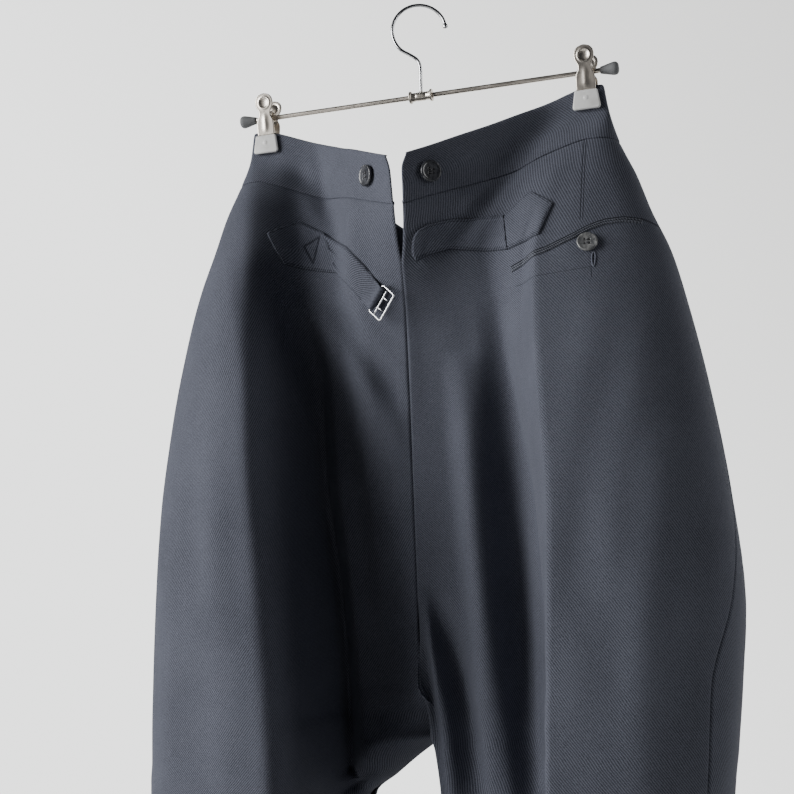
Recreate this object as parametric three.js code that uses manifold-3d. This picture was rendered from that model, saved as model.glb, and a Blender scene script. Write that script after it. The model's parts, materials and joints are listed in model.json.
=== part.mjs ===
// High-waisted, full-cut trousers that hang by the waistband from a clip hanger, with their back to +Y.
// Millimetres, +Z up, +X to the wearer's left. The origin is the inside of the top of the hanger's hook.
import * as THREE from 'three';
import { mergeVertices } from 'three/addons/utils/BufferGeometryUtils.js';
import Module from 'manifold-3d';

const wasm = await Module();
wasm.setup();

// Driving sizes
const HOOK_TOP = 81.5;         // the inside of the hook above the hanger's bar
const PANEL_WALL = 1.5;        // wool twill with its seam allowances
const BAND_WALL = 2.4;         // waistband: two layers of cloth and an interlining
const APPLIED_WALL = 1.6;      // patches, straps, welt and placket, each of two layers
const SEAM = 0.2;              // how far each panel stops short of its seam
const INSEAM = 0.5;            // the same at the inseam, where the legs part fast
const LIFT = 0.6;              // clearance of an applied piece over the facets of its panel
const CLIP_X = 144;            // each clip's middle, from the hanger's middle
const BAND_FOOT = -64;         // the waistband's lower edge, at the side
const HEM = -1113;
const BAR_RADIUS = 2.1;
const HALF_GAUGE = 171;        // tip to tip of the hanger, halved
const SEAT_FOOT = -500;        // where the back seam turns forward under the seat
const CROTCH = -541;           // below this the legs part in front too
const REACH = 3;               // half the stretch that a direction is measured over
const BUTTON_RADIUS = 9;
const POCKET_BUTTON_RADIUS = 8.2;

// Colours of the finishes
const CLOTH = { color: 0x3a3e48, roughness: 0.92, metalness: 0 };
const HORN = { color: 0x23252b, roughness: 0.35, metalness: 0 };
const SMOKE_HORN = { color: 0x4a4d50, roughness: 0.35, metalness: 0 };
const CHROME = { color: 0xc9ccd0, roughness: 0.2, metalness: 1 };
const NICKEL = { color: 0xc4bdb2, roughness: 0.3, metalness: 1 };
const VINYL = { color: 0xe6e6e4, roughness: 0.45, metalness: 0 };
const RUBBER = { color: 0x6f7377, roughness: 0.7, metalness: 0 };

// The two halves of the garment: L is the wearer's left, on +X
const SIDES = [{ key: 'L', name: 'left', sign: 1 }, { key: 'R', name: 'right', sign: -1 }];

function table(columns, rows) {
  return { columns, rows };
}

// Heights below the bar, half widths, inseam edges, and the depths of the inseam and of the side fold
const OUTLINE = table(
  ['z', 'outL', 'outR', 'inL', 'inR', 'inY', 'sideY'], [
    [-13, 158, 158, 0, 0, 0, 0],
    [-34, 161, 161, 0, 0, 0, 0],
    [-64, 169, 169, 0, 0, 0, 0],
    [-95, 181, 182, 0, 0, 0, 2],
    [-125, 191, 192, 0, 0, 0, 3],
    [-160, 204, 206, 0, 0, 0, 4],
    [-200, 215, 216, 0, 0, 0, 5],
    [-272, 229, 230, 0, 0, 0, 6],
    [-350, 240, 241, 0, 0, 0, 8],
    [-430, 246, 247, 0, 0, 0, 8],
    [-499, 249, 241, 0, 0, 0, 8],
    [-540, 250, 236, 0, 0, -38, 8],
    [-548, 250, 235, 12, 3, -36, 8],
    [-560, 250, 233, 29, 5, -34, 8],
    [-575, 251, 231, 48, 7, -32, 8],
    [-592, 251, 229, 71, 9, -30, 8],
    [-640, 249, 226, 80, 22, -24, 8],
    [-720, 247, 224, 84, 40, -16, 6],
    [-850, 245, 223, 86, 56, -8, 4],
    [-1000, 243, 222, 86, 63, -3, 2],
    [HEM, 242, 222, 86, 66, 0, 0],
  ]);

// Back face: depth at the middle, on the floor between the creases and on the creases, and where they run
const BACK = table(
  ['z', 'middle', 'floor', 'crest', 'crestL', 'crestR', 'wallL', 'wallR'], [
    [-13, 100, 3.2, 3.2, 155, 155, 40, 60],
    [-34, 96, 3.4, 3.4, 157, 157, 40, 62],
    [-64, 88, 8, 22, 150, 143, 40, 64],
    [-95, 81, 14, 37, 150, 126, 42, 60],
    [-125, 75, 24, 47, 148, 116, 44, 54],
    [-160, 68, 37, 58, 143, 108, 42, 46],
    [-200, 60, 47, 70, 131, 108, 36, 36],
    [-272, 55, 53, 90, 113, 112, 28, 26],
    [-350, 52, 51, 97, 106, 116, 24, 16],
    [-430, 49, 49, 100, 96, 114, 24, 9],
    [-465, 47, 48, 100, 94, 112, 24, 8],
    [-499, 49, 49, 100, 92, 111, 24, 8],
    [-507, 38, 49, 100, 92, 110, 24, 8],
    [-513, 20, 49, 100, 92, 110, 24, 8],
    [-520, 4, 49, 100, 92, 109, 24, 8],
    [-530, -20, 49, 100, 91, 109, 24, 8],
    [-540, -36, 49, 100, 91, 109, 24, 8],
    [-548, -36, 50, 100, 91, 108, 24, 8],
    [-560, -34, 50, 100, 91, 108, 24, 8],
    [-592, -30, 52, 99, 94, 108, 26, 9],
    [-640, -24, 54, 96, 104, 110, 30, 12],
    [-720, -16, 52, 88, 124, 116, 40, 26],
    [-850, -8, 46, 74, 146, 128, 50, 50],
    [-1000, -3, 40, 60, 160, 140, 56, 56],
    [HEM, 0, 36, 52, 164, 144, 60, 60],
  ]);

// Front face, its depths counted forwards
const FRONT = table(
  ['z', 'middle', 'floor', 'crest', 'crestL', 'crestR', 'wallL', 'wallR'], [
    [-13, 52, 3.2, 3.2, 155, 155, 66, 66],
    [-34, 52, 3.4, 3.4, 157, 157, 66, 66],
    [-64, 52, 8, 12, 150, 150, 66, 66],
    [-95, 52, 14, 22, 140, 140, 66, 66],
    [-160, 50, 28, 41, 128, 128, 66, 66],
    [-272, 45, 38, 64, 118, 118, 66, 66],
    [-350, 43, 41, 73, 114, 114, 66, 66],
    [-430, 42, 42, 80, 110, 110, 66, 66],
    [-499, 43, 42, 84, 107, 107, 66, 66],
    [-540, 42, 42, 84, 107, 107, 66, 66],
    [-548, 36, 42, 84, 107, 107, 66, 66],
    [-560, 34, 42, 84, 108, 107, 66, 66],
    [-592, 30, 42, 84, 111, 107, 66, 66],
    [-640, 24, 42, 82, 118, 109, 66, 66],
    [-720, 16, 40, 76, 134, 116, 66, 66],
    [-850, 8, 36, 64, 150, 130, 66, 66],
    [-1000, 3, 33, 52, 160, 140, 66, 66],
    [HEM, 0, 30, 46, 164, 144, 66, 66],
  ]);

// Where the side seams run: the share of the back face, from its crease out, that is the back panel's
const SIDE_SEAM = table(
  ['z', 'L', 'R'], [
    [-13, 1, 1],
    [-272, 1, 1],
    [-350, 1, 0.96],
    [-430, 1, 0.78],
    [-499, 1, 0.66],
    [-592, 1, 0.67],
    [-720, 1, 0.82],
    [-1000, 1, 1],
    [HEM, 1, 1],
  ]);

// How far each level drops between the clips, at the middle, and the half width of the slit at centre back
const DROP = table(
  ['z', 'back', 'front'], [
    [-13, 66, 116],
    [-64, 53, 101],
    [-110, 38, 76],
    [-160, 22, 46],
    [-210, 9, 20],
    [-260, 0, 0],
    [HEM, 0, 0],
  ]);
const SLIT = table(
  ['z', 'half'], [
    [-79, 9.6],
    [-90, 5.6],
    [-105, 5],
    [-125, 4.2],
    [-145, 2.6],
    [-165, 0],
    [HEM, 0],
  ]);

// How far the back falls in between its two creases, at the middle seam and beside it, the direction that it
// falls in, and where that ends on each side of the crease
const HOLLOW = table(
  ['z', 'middle', 'beside'], [
    [-13, 0, 0],
    [-110, 0, 0],
    [-140, 6, 6],
    [-170, 14, 14],
    [-200, 22, 22],
    [-272, 38, 38],
    [-350, 50, 50],
    [-430, 58, 58],
    [-499, 54, 58],
    [-507, 42, 57],
    [-513, 28, 56],
    [-520, 16, 55],
    [-530, 2, 52],
    [-540, 0, 48],
    [-560, 0, 42],
    [-592, 0, 34],
    [-640, 0, 22],
    [-720, 0, 8],
    [-850, 0, 0],
    [HEM, 0, 0],
  ]);
const HOLLOW_WAY = { x: 0.315, y: -0.949 };
const HOLLOW_END = { L: [-28, 18], R: [-10, 0] };

// How squarely the back turns to the side
const SIDE_ROUND = { L: 2, R: 2.6 };

// Hanging folds, each along a bent line of three points; a valley's height is negative, its width is halved
const FOLDS = [
  { side: 'L', face: 'back', line: [[112, -130], [86, -445], [66, -760]], height: -30, width: 34, taper: 0.7 },
  { side: 'L', face: 'back', line: [[98, -4], [82, -150], [62, -330]], height: -18, width: 40, taper: 0.6 },
  { side: 'R', face: 'back', line: [[74, -190], [88, -475], [86, -760]], height: -14, width: 20, taper: 0.7 },
  { side: 'R', face: 'back', line: [[46, -230], [56, -405], [62, -580]], height: 16, width: 22, taper: 0.7 },
  { side: 'R', face: 'back', line: [[14, -420], [32, -490], [46, -600]], height: -12, width: 15, taper: 0.7 },
];

// The rounded inner edge of each leg: its width and how square it is
const LEG_EDGE = { L: { width: 34, square: 2 }, R: { width: 18, square: 3.5 } };
const FRONT_EDGE = { width: 30, square: 2 };

const clamp = (value, low, high) => Math.min(high, Math.max(low, value));

// A table's column at a height, by a cubic that never overshoots its rows
function along(from, column, z) {
  const c = from.columns.indexOf(column);
  const rows = from.rows;
  const last = rows.length - 1;
  const at = clamp(z, rows[last][0], rows[0][0]);
  let i = 0;
  while (i < last - 1 && at < rows[i + 1][0]) i++;
  const slope = (k) => (rows[k + 1][c] - rows[k][c]) / (rows[k + 1][0] - rows[k][0]);
  const tangent = (k) => {
    if (k === 0) return slope(0);
    if (k === last) return slope(last - 1);
    const before = slope(k - 1);
    const after = slope(k);
    if (before * after <= 0) return 0;
    const h0 = Math.abs(rows[k][0] - rows[k - 1][0]);
    const h1 = Math.abs(rows[k + 1][0] - rows[k][0]);
    const w0 = 2 * h1 + h0;
    const w1 = h1 + 2 * h0;
    return (w0 + w1) / (w0 / before + w1 / after);
  };
  const h = rows[i + 1][0] - rows[i][0];
  const t = (at - rows[i][0]) / h;
  const u = 1 - t;
  return rows[i][c] * (1 + 2 * t) * u * u + tangent(i) * h * t * u * u
    + rows[i + 1][c] * t * t * (3 - 2 * t) - tangent(i + 1) * h * t * t * u;
}

function foldHeight(side, face, x, z) {
  let sum = 0;
  for (const fold of FOLDS) {
    if (fold.side !== side || fold.face !== face) continue;
    const [[x0, z0], [x1, z1], [x2, z2]] = fold.line;
    const t = (z0 - z) / (z0 - z2);
    const bend = (z0 - z1) / (z0 - z2);
    const ridge = x0 + (x2 - x0) * t + (x1 - x0 - (x2 - x0) * bend) * t * (1 - t) / (bend * (1 - bend));
    const across = (x - ridge) * Math.cos(Math.atan2(Math.abs(x2 - x0), z0 - z2)) / fold.width;
    if (t <= 0 || t >= 1 || Math.abs(across) >= 1) continue;
    sum += fold.height * Math.sin(Math.PI * t) ** fold.taper * (0.5 + 0.5 * Math.cos(Math.PI * across));
  }
  return sum;
}

// From 0 at a leg's inner edge to 1 where its face begins
function rounded(x, { width, square }) {
  return (1 - (1 - clamp(x / width, 0, 1)) ** square) ** (1 / square);
}

// Depth (y) of one half's back or front face, x from the middle and z below the bar
function faceDepth(side, face, x, z) {
  const shape = face === 'back' ? BACK : FRONT;
  const out = along(OUTLINE, 'out' + side, z);
  const inseam = along(OUTLINE, 'in' + side, z);
  const fold = along(OUTLINE, 'sideY', z) * (face === 'back' ? 1 : -1);
  const middle = along(shape, 'middle', z);
  const floor = along(shape, 'floor', z);
  const crest = along(shape, 'crest', z);
  const crestX = along(shape, 'crest' + side, z);
  const wall = along(shape, 'wall' + side, z);
  let y;
  if (x < crestX) {
    const t = clamp((x - crestX + wall) / wall, 0, 1);
    y = floor + (crest - floor) * t * t * (3 - 2 * t);
  } else {
    const t = clamp((x - crestX) / Math.max(out - crestX, 1), 0, 1);
    const round = face === 'back' ? SIDE_ROUND[side] : 2;
    y = fold + (crest - fold) * (1 - t ** round) ** (1 / round);
  }
  y += Math.max(middle - floor, 0) * clamp(1 - x / CLIP_X, 0, 1) ** 2;
  const edge = face === 'back' ? LEG_EDGE[side] : FRONT_EDGE;
  y -= Math.max(floor - middle, 0) * (1 - rounded(x - inseam, edge));
  y += foldHeight(side, face, x, z) * clamp((out - x) / 18, 0, 1) * clamp((x - inseam) / 12, 0, 1);
  return face === 'back' ? y : -y;
}

function hollow(side, x, z) {
  const share = rounded(x - along(OUTLINE, 'in' + side, z), LEG_EDGE[side]);
  const [low, high] = HOLLOW_END[side];
  const t = clamp((x - along(BACK, 'crest' + side, z) - low) / (high - low), 0, 1);
  const middle = along(HOLLOW, 'middle', z);
  return (middle + (along(HOLLOW, 'beside', z) - middle) * share) * (1 - t * t * (3 - 2 * t));
}

function drop(face, x, level) {
  return along(DROP, face, level) * clamp(1 - x / CLIP_X, 0, 1) ** (face === 'back' ? 1.15 : 0.95);
}

// Points of a level on one half's face, from the slit or inseam out to the side, and the places across that
// they were measured at
function faceLine(side, face, level) {
  const count = 160;
  const out = along(OUTLINE, 'out' + side, level);
  const slit = face === 'back' ? along(SLIT, 'half', level - along(DROP, 'back', level)) : 0;
  const start = Math.max(along(OUTLINE, 'in' + side, level), slit);
  const line = [];
  const places = [];
  for (let i = 0; i <= count; i++) {
    const x = start + (out - start) * (1 - Math.cos(Math.PI * i / count)) / 2;
    const z = level - drop(face, x, level);
    const fall = face === 'back' ? hollow(side, x, z) : 0;
    const shift = fall * HOLLOW_WAY.x * (side === 'L' ? 1 : -1);
    line.push(new THREE.Vector3(x + shift, faceDepth(side, face, x, z) + fall * HOLLOW_WAY.y, z));
    places.push(x);
  }
  return { line, places };
}

function lengths(line) {
  const sums = [0];
  for (let i = 1; i < line.length; i++) sums.push(sums[i - 1] + line[i].distanceTo(line[i - 1]));
  return sums;
}

function pointAt(line, sums, s) {
  let i = 0;
  while (i < line.length - 2 && sums[i + 1] < s) i++;
  return line[i].clone().lerp(line[i + 1], (s - sums[i]) / (sums[i + 1] - sums[i]));
}

function lengthAt(places, sums, x) {
  let i = 0;
  while (i < places.length - 2 && places[i + 1] < x) i++;
  return sums[i] + (sums[i + 1] - sums[i]) * clamp((x - places[i]) / (places[i + 1] - places[i]), 0, 1);
}

// Stations from one length to the next, a given number of steps to each stretch
function stations(stops, counts) {
  const all = [stops[0]];
  counts.forEach((count, k) => {
    for (let i = 1; i <= count; i++) all.push(stops[k] + (stops[k + 1] - stops[k]) * i / count);
  });
  return all;
}

// A level's whole way round one half: front face out to the side, then back face in to the middle
function wayRound(side, level) {
  const back = faceLine(side, 'back', level);
  const front = faceLine(side, 'front', level);
  const backSums = lengths(back.line);
  const frontSums = lengths(front.line);
  const line = front.line.concat(back.line.slice(0, -1).reverse());
  const frontLength = frontSums.at(-1);
  const whole = frontLength + backSums.at(-1);
  const inseam = along(OUTLINE, 'in' + side, level);
  const backAt = (x) => whole - lengthAt(back.places, backSums, x);
  const frontAt = (x) => lengthAt(front.places, frontSums, x);
  const backCrest = backAt(along(BACK, 'crest' + side, level));
  const frontCrest = frontAt(along(FRONT, 'crest' + side, level));
  const backEdge = backAt(inseam + LEG_EDGE[side].width);
  const wallFoot = backAt(along(BACK, 'crest' + side, level) - along(BACK, 'wall' + side, level));
  const frontEdge = frontAt(inseam + FRONT_EDGE.width);
  const seam = backCrest + (frontLength - backCrest) * along(SIDE_SEAM, side, level);
  return {
    line, sums: lengths(line), whole, frontLength, backEdge, wallFoot, backCrest, frontEdge, frontCrest, seam,
  };
}

// A row's points and directions; at an inseam the direction is straight back, so both panels end in one plane
function rowFrom(way, stops, counts, sign, level) {
  const row = stations(stops, counts).map((s) => {
    const point = pointAt(way.line, way.sums, s);
    const ahead = pointAt(way.line, way.sums, Math.max(s - REACH, 0));
    const direction = ahead.sub(pointAt(way.line, way.sums, Math.min(s + REACH, way.whole)));
    if (s > way.whole - REACH && level < SEAT_FOOT) direction.set(0, 1, 0);
    if (s < REACH && level < CROTCH) direction.set(0, 1, 0);
    point.x *= sign;
    direction.x *= sign;
    return { point, direction };
  });
  return { points: row.map((r) => r.point), directions: row.map((r) => r.direction) };
}

// Panels and band halves as grids of outer points, a row for each level, from the middle of the back forwards
function backRow(side, level) {
  const way = wayRound(side.key, level);
  const trim = level < SEAT_FOOT ? INSEAM : SEAM;
  const stops = [way.whole - trim, way.backEdge, way.wallFoot, way.backCrest, way.seam + SEAM];
  const row = rowFrom(way, stops, [4, 3, 3, 6], side.sign, level);
  if (level < CROTCH) return row;
  for (const point of row.points) point.x = side.sign * Math.max(side.sign * point.x, side.sign * seamX(point.z) + trim);
  return row;
}

// Where the back's middle seam is across, as it falls in with the hollow
function seamX(z) {
  return z < CROTCH ? 0 : along(HOLLOW, 'middle', z) * HOLLOW_WAY.x;
}

function frontRow(side, level) {
  const way = wayRound(side.key, level);
  const trim = level < CROTCH ? INSEAM : SEAM;
  return rowFrom(way, [way.seam - SEAM, way.frontCrest, way.frontEdge, trim], [7, 3, 3], side.sign, level);
}

function bandRow(side, level) {
  const way = wayRound(side.key, level);
  const { whole, backEdge, wallFoot, backCrest, frontLength, frontCrest } = way;
  const stops = [whole - SEAM, backEdge, wallFoot, backCrest, frontLength, frontCrest, SEAM];
  return rowFrom(way, stops, [4, 3, 3, 2, 2, 8], side.sign, level);
}

function outward(rows, sign) {
  const last = rows.length - 1;
  return rows.map((row, i) => row.points.map((point, j) => {
    const down = rows[Math.min(i + 1, last)].points[j].clone().sub(rows[Math.max(i - 1, 0)].points[j]);
    return row.directions[j].clone().cross(down).multiplyScalar(sign).normalize();
  }));
}

function solidMesh(name, positions, index, finish) {
  const geometry = new THREE.BufferGeometry();
  geometry.setAttribute('position', new THREE.Float32BufferAttribute(positions, 3));
  geometry.setIndex(index);
  if (volume(geometry) < 0) {
    for (let i = 0; i < index.length; i += 3) [index[i], index[i + 1]] = [index[i + 1], index[i]];
    geometry.setIndex(index);
  }
  geometry.computeVertexNormals();
  return named(name, geometry, finish);
}

function named(name, geometry, finish) {
  const mesh = new THREE.Mesh(geometry, new THREE.MeshStandardMaterial(finish));
  mesh.name = name;
  return mesh;
}

function volume(geometry) {
  const p = geometry.getAttribute('position');
  const index = geometry.getIndex();
  const corners = [0, 1, 2].map(() => new THREE.Vector3());
  let sum = 0;
  for (let i = 0; i < index.count; i += 3) {
    corners.forEach((corner, k) => corner.fromBufferAttribute(p, index.getX(i + k)));
    sum += corners[0].dot(corners[1].clone().cross(corners[2])) / 6;
  }
  return sum;
}

// A closed wall between an outer and an inner grid of the same size
function wallBetween(name, outer, inner, finish) {
  const rows = outer.length;
  const columns = outer[0].length;
  const layer = rows * columns;
  const positions = [outer, inner].flatMap((grid) => grid.flat()).flatMap((p) => [p.x, p.y, p.z]);
  const index = [];
  const quad = (a, b, c, d) => index.push(a, b, c, a, c, d);
  const id = (i, j, inside) => i * columns + j + (inside ? layer : 0);
  for (let i = 0; i < rows - 1; i++) {
    for (let j = 0; j < columns - 1; j++) {
      quad(id(i, j), id(i + 1, j), id(i + 1, j + 1), id(i, j + 1));
      quad(id(i, j, true), id(i, j + 1, true), id(i + 1, j + 1, true), id(i + 1, j, true));
    }
  }
  for (let i = 0; i < rows - 1; i++) {
    quad(id(i, 0), id(i, 0, true), id(i + 1, 0, true), id(i + 1, 0));
    quad(id(i, columns - 1), id(i + 1, columns - 1), id(i + 1, columns - 1, true), id(i, columns - 1, true));
  }
  for (let j = 0; j < columns - 1; j++) {
    quad(id(0, j), id(0, j + 1), id(0, j + 1, true), id(0, j, true));
    quad(id(rows - 1, j), id(rows - 1, j, true), id(rows - 1, j + 1, true), id(rows - 1, j + 1));
  }
  return solidMesh(name, positions, index, finish);
}

// Cloth of one half: its inner side stays on its own side of the garment's middle, and its upper and lower
// edges are cut level, so that they clear the piece that they are sewn to
function clothPiece(name, rows, sign, wall, middleX) {
  const grid = rows.map((row) => row.points);
  const normals = outward(rows, sign);
  const inner = grid.map((row, i) => row.map((point, j) => {
    const inwards = normals[i][j].clone().negate();
    if (i === 0 || i === grid.length - 1) inwards.setZ(0).normalize();
    const inside = point.clone().addScaledVector(inwards, wall);
    if (point.z > CROTCH - 1) inside.x = sign * Math.max(sign * inside.x, sign * middleX(point.z) + SEAM);
    return inside;
  }));
  return { mesh: wallBetween(name, grid, inner, CLOTH), grid, normals };
}

const BAND_LEVELS = [-13, -23, -34, -48, BAND_FOOT + SEAM];
const PANEL_LEVELS = [BAND_FOOT - SEAM, -80, -100, -125, -150, -180, -215, -250, -290, -330, -370, -410, -450, -480,
  -499, -507, -513, -520, -530, -540, -548, -560, -575, -592, -620, -660, -720, -800, -900, -1000, HEM];

const pieces = {};
for (const side of SIDES) {
  const cut = (name, levels, row, wall, middleX) => (
    clothPiece(name, levels.map((z) => row(side, z)), side.sign, wall, middleX));
  pieces[`back_${side.name}`] = cut(`back_${side.name}`, PANEL_LEVELS, backRow, PANEL_WALL, seamX);
  pieces[`front_${side.name}`] = cut(`front_${side.name}`, PANEL_LEVELS, frontRow, PANEL_WALL, () => 0);
  pieces[`band_${side.name}`] = cut(`waistband_${side.name}`, BAND_LEVELS, bandRow, BAND_WALL, () => 0);
}

// The point of a piece's facets in front of (x, z), and the outward direction there
function onPiece(piece, x, z, facing) {
  const { grid, normals } = piece;
  for (let i = 0; i < grid.length - 1; i++) {
    for (let j = 0; j < grid[0].length - 1; j++) {
      const corners = [[i, j], [i + 1, j], [i + 1, j + 1], [i, j + 1]];
      for (const [a, b, c] of [[0, 1, 2], [0, 2, 3]].map((t) => t.map((k) => corners[k]))) {
        const [p, q, r] = [a, b, c].map(([u, v]) => grid[u][v]);
        const area = (q.x - p.x) * (r.z - p.z) - (r.x - p.x) * (q.z - p.z);
        const wq = ((x - p.x) * (r.z - p.z) - (r.x - p.x) * (z - p.z)) / area;
        const wr = ((q.x - p.x) * (z - p.z) - (x - p.x) * (q.z - p.z)) / area;
        if (!(wq >= -1e-6 && wr >= -1e-6 && wq + wr <= 1 + 1e-6)) continue;
        const y = p.y + wq * (q.y - p.y) + wr * (r.y - p.y);
        const normal = normals[a[0]][a[1]].clone().multiplyScalar(1 - wq - wr)
          .addScaledVector(normals[b[0]][b[1]], wq).addScaledVector(normals[c[0]][c[1]], wr).normalize();
        if (normal.y * facing <= 0) continue;
        return { point: new THREE.Vector3(x, y, z), normal };
      }
    }
  }
  throw new Error(`nothing under ${x}, ${z}`);
}

// A strip laid on a piece between an upper and a lower edge, each a list of [x, z]
function strip(name, piece, upper, lower, { steps, across, facing = 1, lift = () => LIFT }) {
  const spread = (points, t) => {
    const at = t * (points.length - 1);
    const i = Math.min(Math.floor(at), points.length - 2);
    return points[i].map((value, k) => value + (points[i + 1][k] - value) * (at - i));
  };
  const layer = (extra) => Array.from({ length: across + 1 }, (_, i) => (
    Array.from({ length: steps + 1 }, (_, j) => {
      const t = j / steps;
      const top = spread(upper, t);
      const bottom = spread(lower, t);
      const [x, z] = top.map((value, k) => value + (bottom[k] - value) * i / across);
      const { point, normal } = onPiece(piece, x, z, facing);
      return point.addScaledVector(normal, lift(t, i / across) + extra);
    })));
  return wallBetween(name, layer(APPLIED_WALL), layer(0), CLOTH);
}

// Closed geometry to a solid that can be cut or joined, and back
function toSolid(geometry) {
  const bare = geometry.clone();
  bare.deleteAttribute('normal');
  bare.deleteAttribute('uv');
  const merged = mergeVertices(bare);
  const positions = new Float32Array(merged.getAttribute('position').array);
  const triangles = new Uint32Array(merged.getIndex().array);
  return new wasm.Manifold(new wasm.Mesh({ numProp: 3, vertProperties: positions, triVerts: triangles }));
}

function fromSolid(name, solid, finish) {
  const { vertProperties, triVerts } = solid.getMesh();
  const geometry = new THREE.BufferGeometry();
  geometry.setAttribute('position', new THREE.Float32BufferAttribute(vertProperties, 3));
  geometry.setIndex([...triVerts]);
  geometry.computeVertexNormals();
  return named(name, geometry, finish);
}

// Round pieces whose axis is X: a closed profile of [distance from the axis, place along it]
function turned(profile, segments) {
  const points = profile.map(([radius, place]) => new THREE.Vector2(radius, place));
  const geometry = new THREE.LatheGeometry(points, segments);
  return geometry.rotateZ(-Math.PI / 2);
}

function tube(inner, outer, half) {
  return [[inner, -half], [outer, -half], [outer, half], [inner, half], [inner, -half]];
}

function polygon(points) {
  return new THREE.Shape(points.map(([x, y]) => new THREE.Vector2(x, y)));
}

// A plate of the given outline, its thickness centred on its plane
function plate(shape, thickness, bevel, curveSegments) {
  const geometry = new THREE.ExtrudeGeometry(shape, {
    depth: thickness - 2 * bevel, bevelEnabled: bevel > 0, bevelThickness: bevel, bevelSize: bevel,
    bevelOffset: -bevel, bevelSegments: 1, curveSegments,
  });
  return geometry.translate(0, 0, bevel - thickness / 2);
}

const garment = new THREE.Group();
const hung = new THREE.Group();   // everything that is measured from the middle of the hanger's bar
hung.position.z = -HOOK_TOP;
garment.add(hung);
for (const piece of Object.values(pieces)) hung.add(piece.mesh);

// Cinch at the back: a pointed patch on each side, the left strap with the buckle and the right one without
hung.add(
  strip('patch_left', pieces.back_left, [[87.6, -114.5], [111, -102], [131.1, -115.5]],
    [[72.9, -153], [119.6, -143], [130.6, -118]], { steps: 10, across: 6 }),
  strip('patch_right', pieces.back_right, [[-78.9, -123.5], [-101, -107.5], [-120.5, -121.5]],
    [[-82.4, -154.5], [-110, -148.5], [-119.8, -123.8]], { steps: 10, across: 6 }),
  strip('strap_right', pieces.back_right,
    [[-78.1, -124.2], [-57.9, -124], [-36.8, -125.5], [-21.5, -129.5], [-9.4, -133.6]],
    [[-81.6, -154], [-59.1, -152.5], [-34.3, -150], [-17.8, -153.8], [-5, -158]],
    { steps: 12, across: 3, lift: (t) => LIFT + 2 * t * t }),
);

// Buckle: its hinge bar lies in the strap's loop, and its plane is upright, as it hangs
const BUCKLE = { half: 13.3, depth: 16, wire: 1.8, corner: 2.4, prongBar: 6.4, prongLength: 6, prongAt: 4.8 };
const LOOP = { bore: 1.4, outer: 2.6, half: 10.5, lift: 3.4, lap: 1.9, stand: 3.2 };
const barTop = onPiece(pieces.back_left, 20.6, -172.5, 1);
const barFoot = onPiece(pieces.back_left, 36.9, -193, 1);
barFoot.point.addScaledVector(barFoot.normal, LOOP.stand);
const barMiddle = barTop.point.clone().lerp(barFoot.point, 0.5);
const barDirection = barFoot.point.clone().sub(barTop.point).normalize();
const plumb = new THREE.Vector3(0, 0, -1);
const hangs = plumb.clone().addScaledVector(barDirection, -plumb.dot(barDirection)).normalize();
const faces = barDirection.clone().cross(hangs);
const hinge = barMiddle.clone().addScaledVector(barTop.normal.clone().add(barFoot.normal).normalize(), LOOP.lift);
const buckle = new THREE.Group();
buckle.matrixAutoUpdate = false;
buckle.matrix.makeBasis(barDirection, hangs, faces).setPosition(hinge);
hung.add(buckle);

function buckleFrame() {
  const { half, depth, wire, corner } = BUCKLE;
  const ring = (reach, low, high, radius) => {
    const outline = new THREE.Shape();
    outline.absarc(reach - radius, high - radius, radius, 0, Math.PI / 2);
    outline.absarc(radius - reach, high - radius, radius, Math.PI / 2, Math.PI);
    outline.absarc(radius - reach, low + radius, radius, Math.PI, Math.PI * 1.5);
    outline.absarc(reach - radius, low + radius, radius, Math.PI * 1.5, Math.PI * 2);
    return outline;
  };
  const outline = ring(half, -wire / 2, depth + wire / 2, corner);
  outline.holes.push(ring(half - wire, wire / 2, depth - wire / 2, corner - wire / 2));
  return named('buckle_frame', plate(outline, wire, 0.45, 4), CHROME);
}

function buckleProngs() {
  const { half, wire, prongBar, prongLength, prongAt } = BUCKLE;
  const reach = half - wire - 0.3;
  const bar = 0.8;
  const prong = 0.7;
  const top = prongBar + bar;
  const tooth = (middle) => [
    [middle + prong, top], [middle + prong, top + prongLength - 1.2], [middle, top + prongLength],
    [middle - prong, top + prongLength - 1.2], [middle - prong, top],
  ];
  const outline = polygon([[-reach, prongBar - bar], [reach, prongBar - bar], [reach, top],
    ...tooth(prongAt), ...tooth(-prongAt), [-reach, top]]);
  return named('buckle_prongs', plate(outline, 1.4, 0, 1), CHROME);
}
buckle.add(buckleFrame(), buckleProngs());

// The left strap ends in a loop that is sewn round the hinge bar
function strapLeft() {
  const loopEnd = (reach) => {
    const end = barMiddle.clone().addScaledVector(barDirection, reach).addScaledVector(hangs, -LOOP.lap);
    return [end.x, end.z];
  };
  const ribbon = strip('strap_left', pieces.back_left,
    [[86.8, -115.4], [58.5, -135], [38.7, -156], loopEnd(-LOOP.half)],
    [[71.8, -152.2], [58.7, -168], [48.2, -179.5], loopEnd(LOOP.half)],
    { steps: 12, across: 3, lift: (t, share) => LIFT + (LOOP.lift - APPLIED_WALL / 2 - LIFT + LOOP.stand * share) * t });
  const onBar = (profile) => {
    const geometry = turned(profile, 12);
    return toSolid(geometry.applyMatrix4(buckle.matrix));
  };
  const loop = onBar(tube(LOOP.bore, LOOP.outer, LOOP.half));
  const bore = onBar([[0, -LOOP.half - 1], [LOOP.bore, -LOOP.half - 1], [LOOP.bore, LOOP.half + 1],
    [0, LOOP.half + 1]]);
  return fromSolid('strap_left', toSolid(ribbon.geometry).add(loop).subtract(bore), CLOTH);
}
hung.add(strapLeft());

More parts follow.
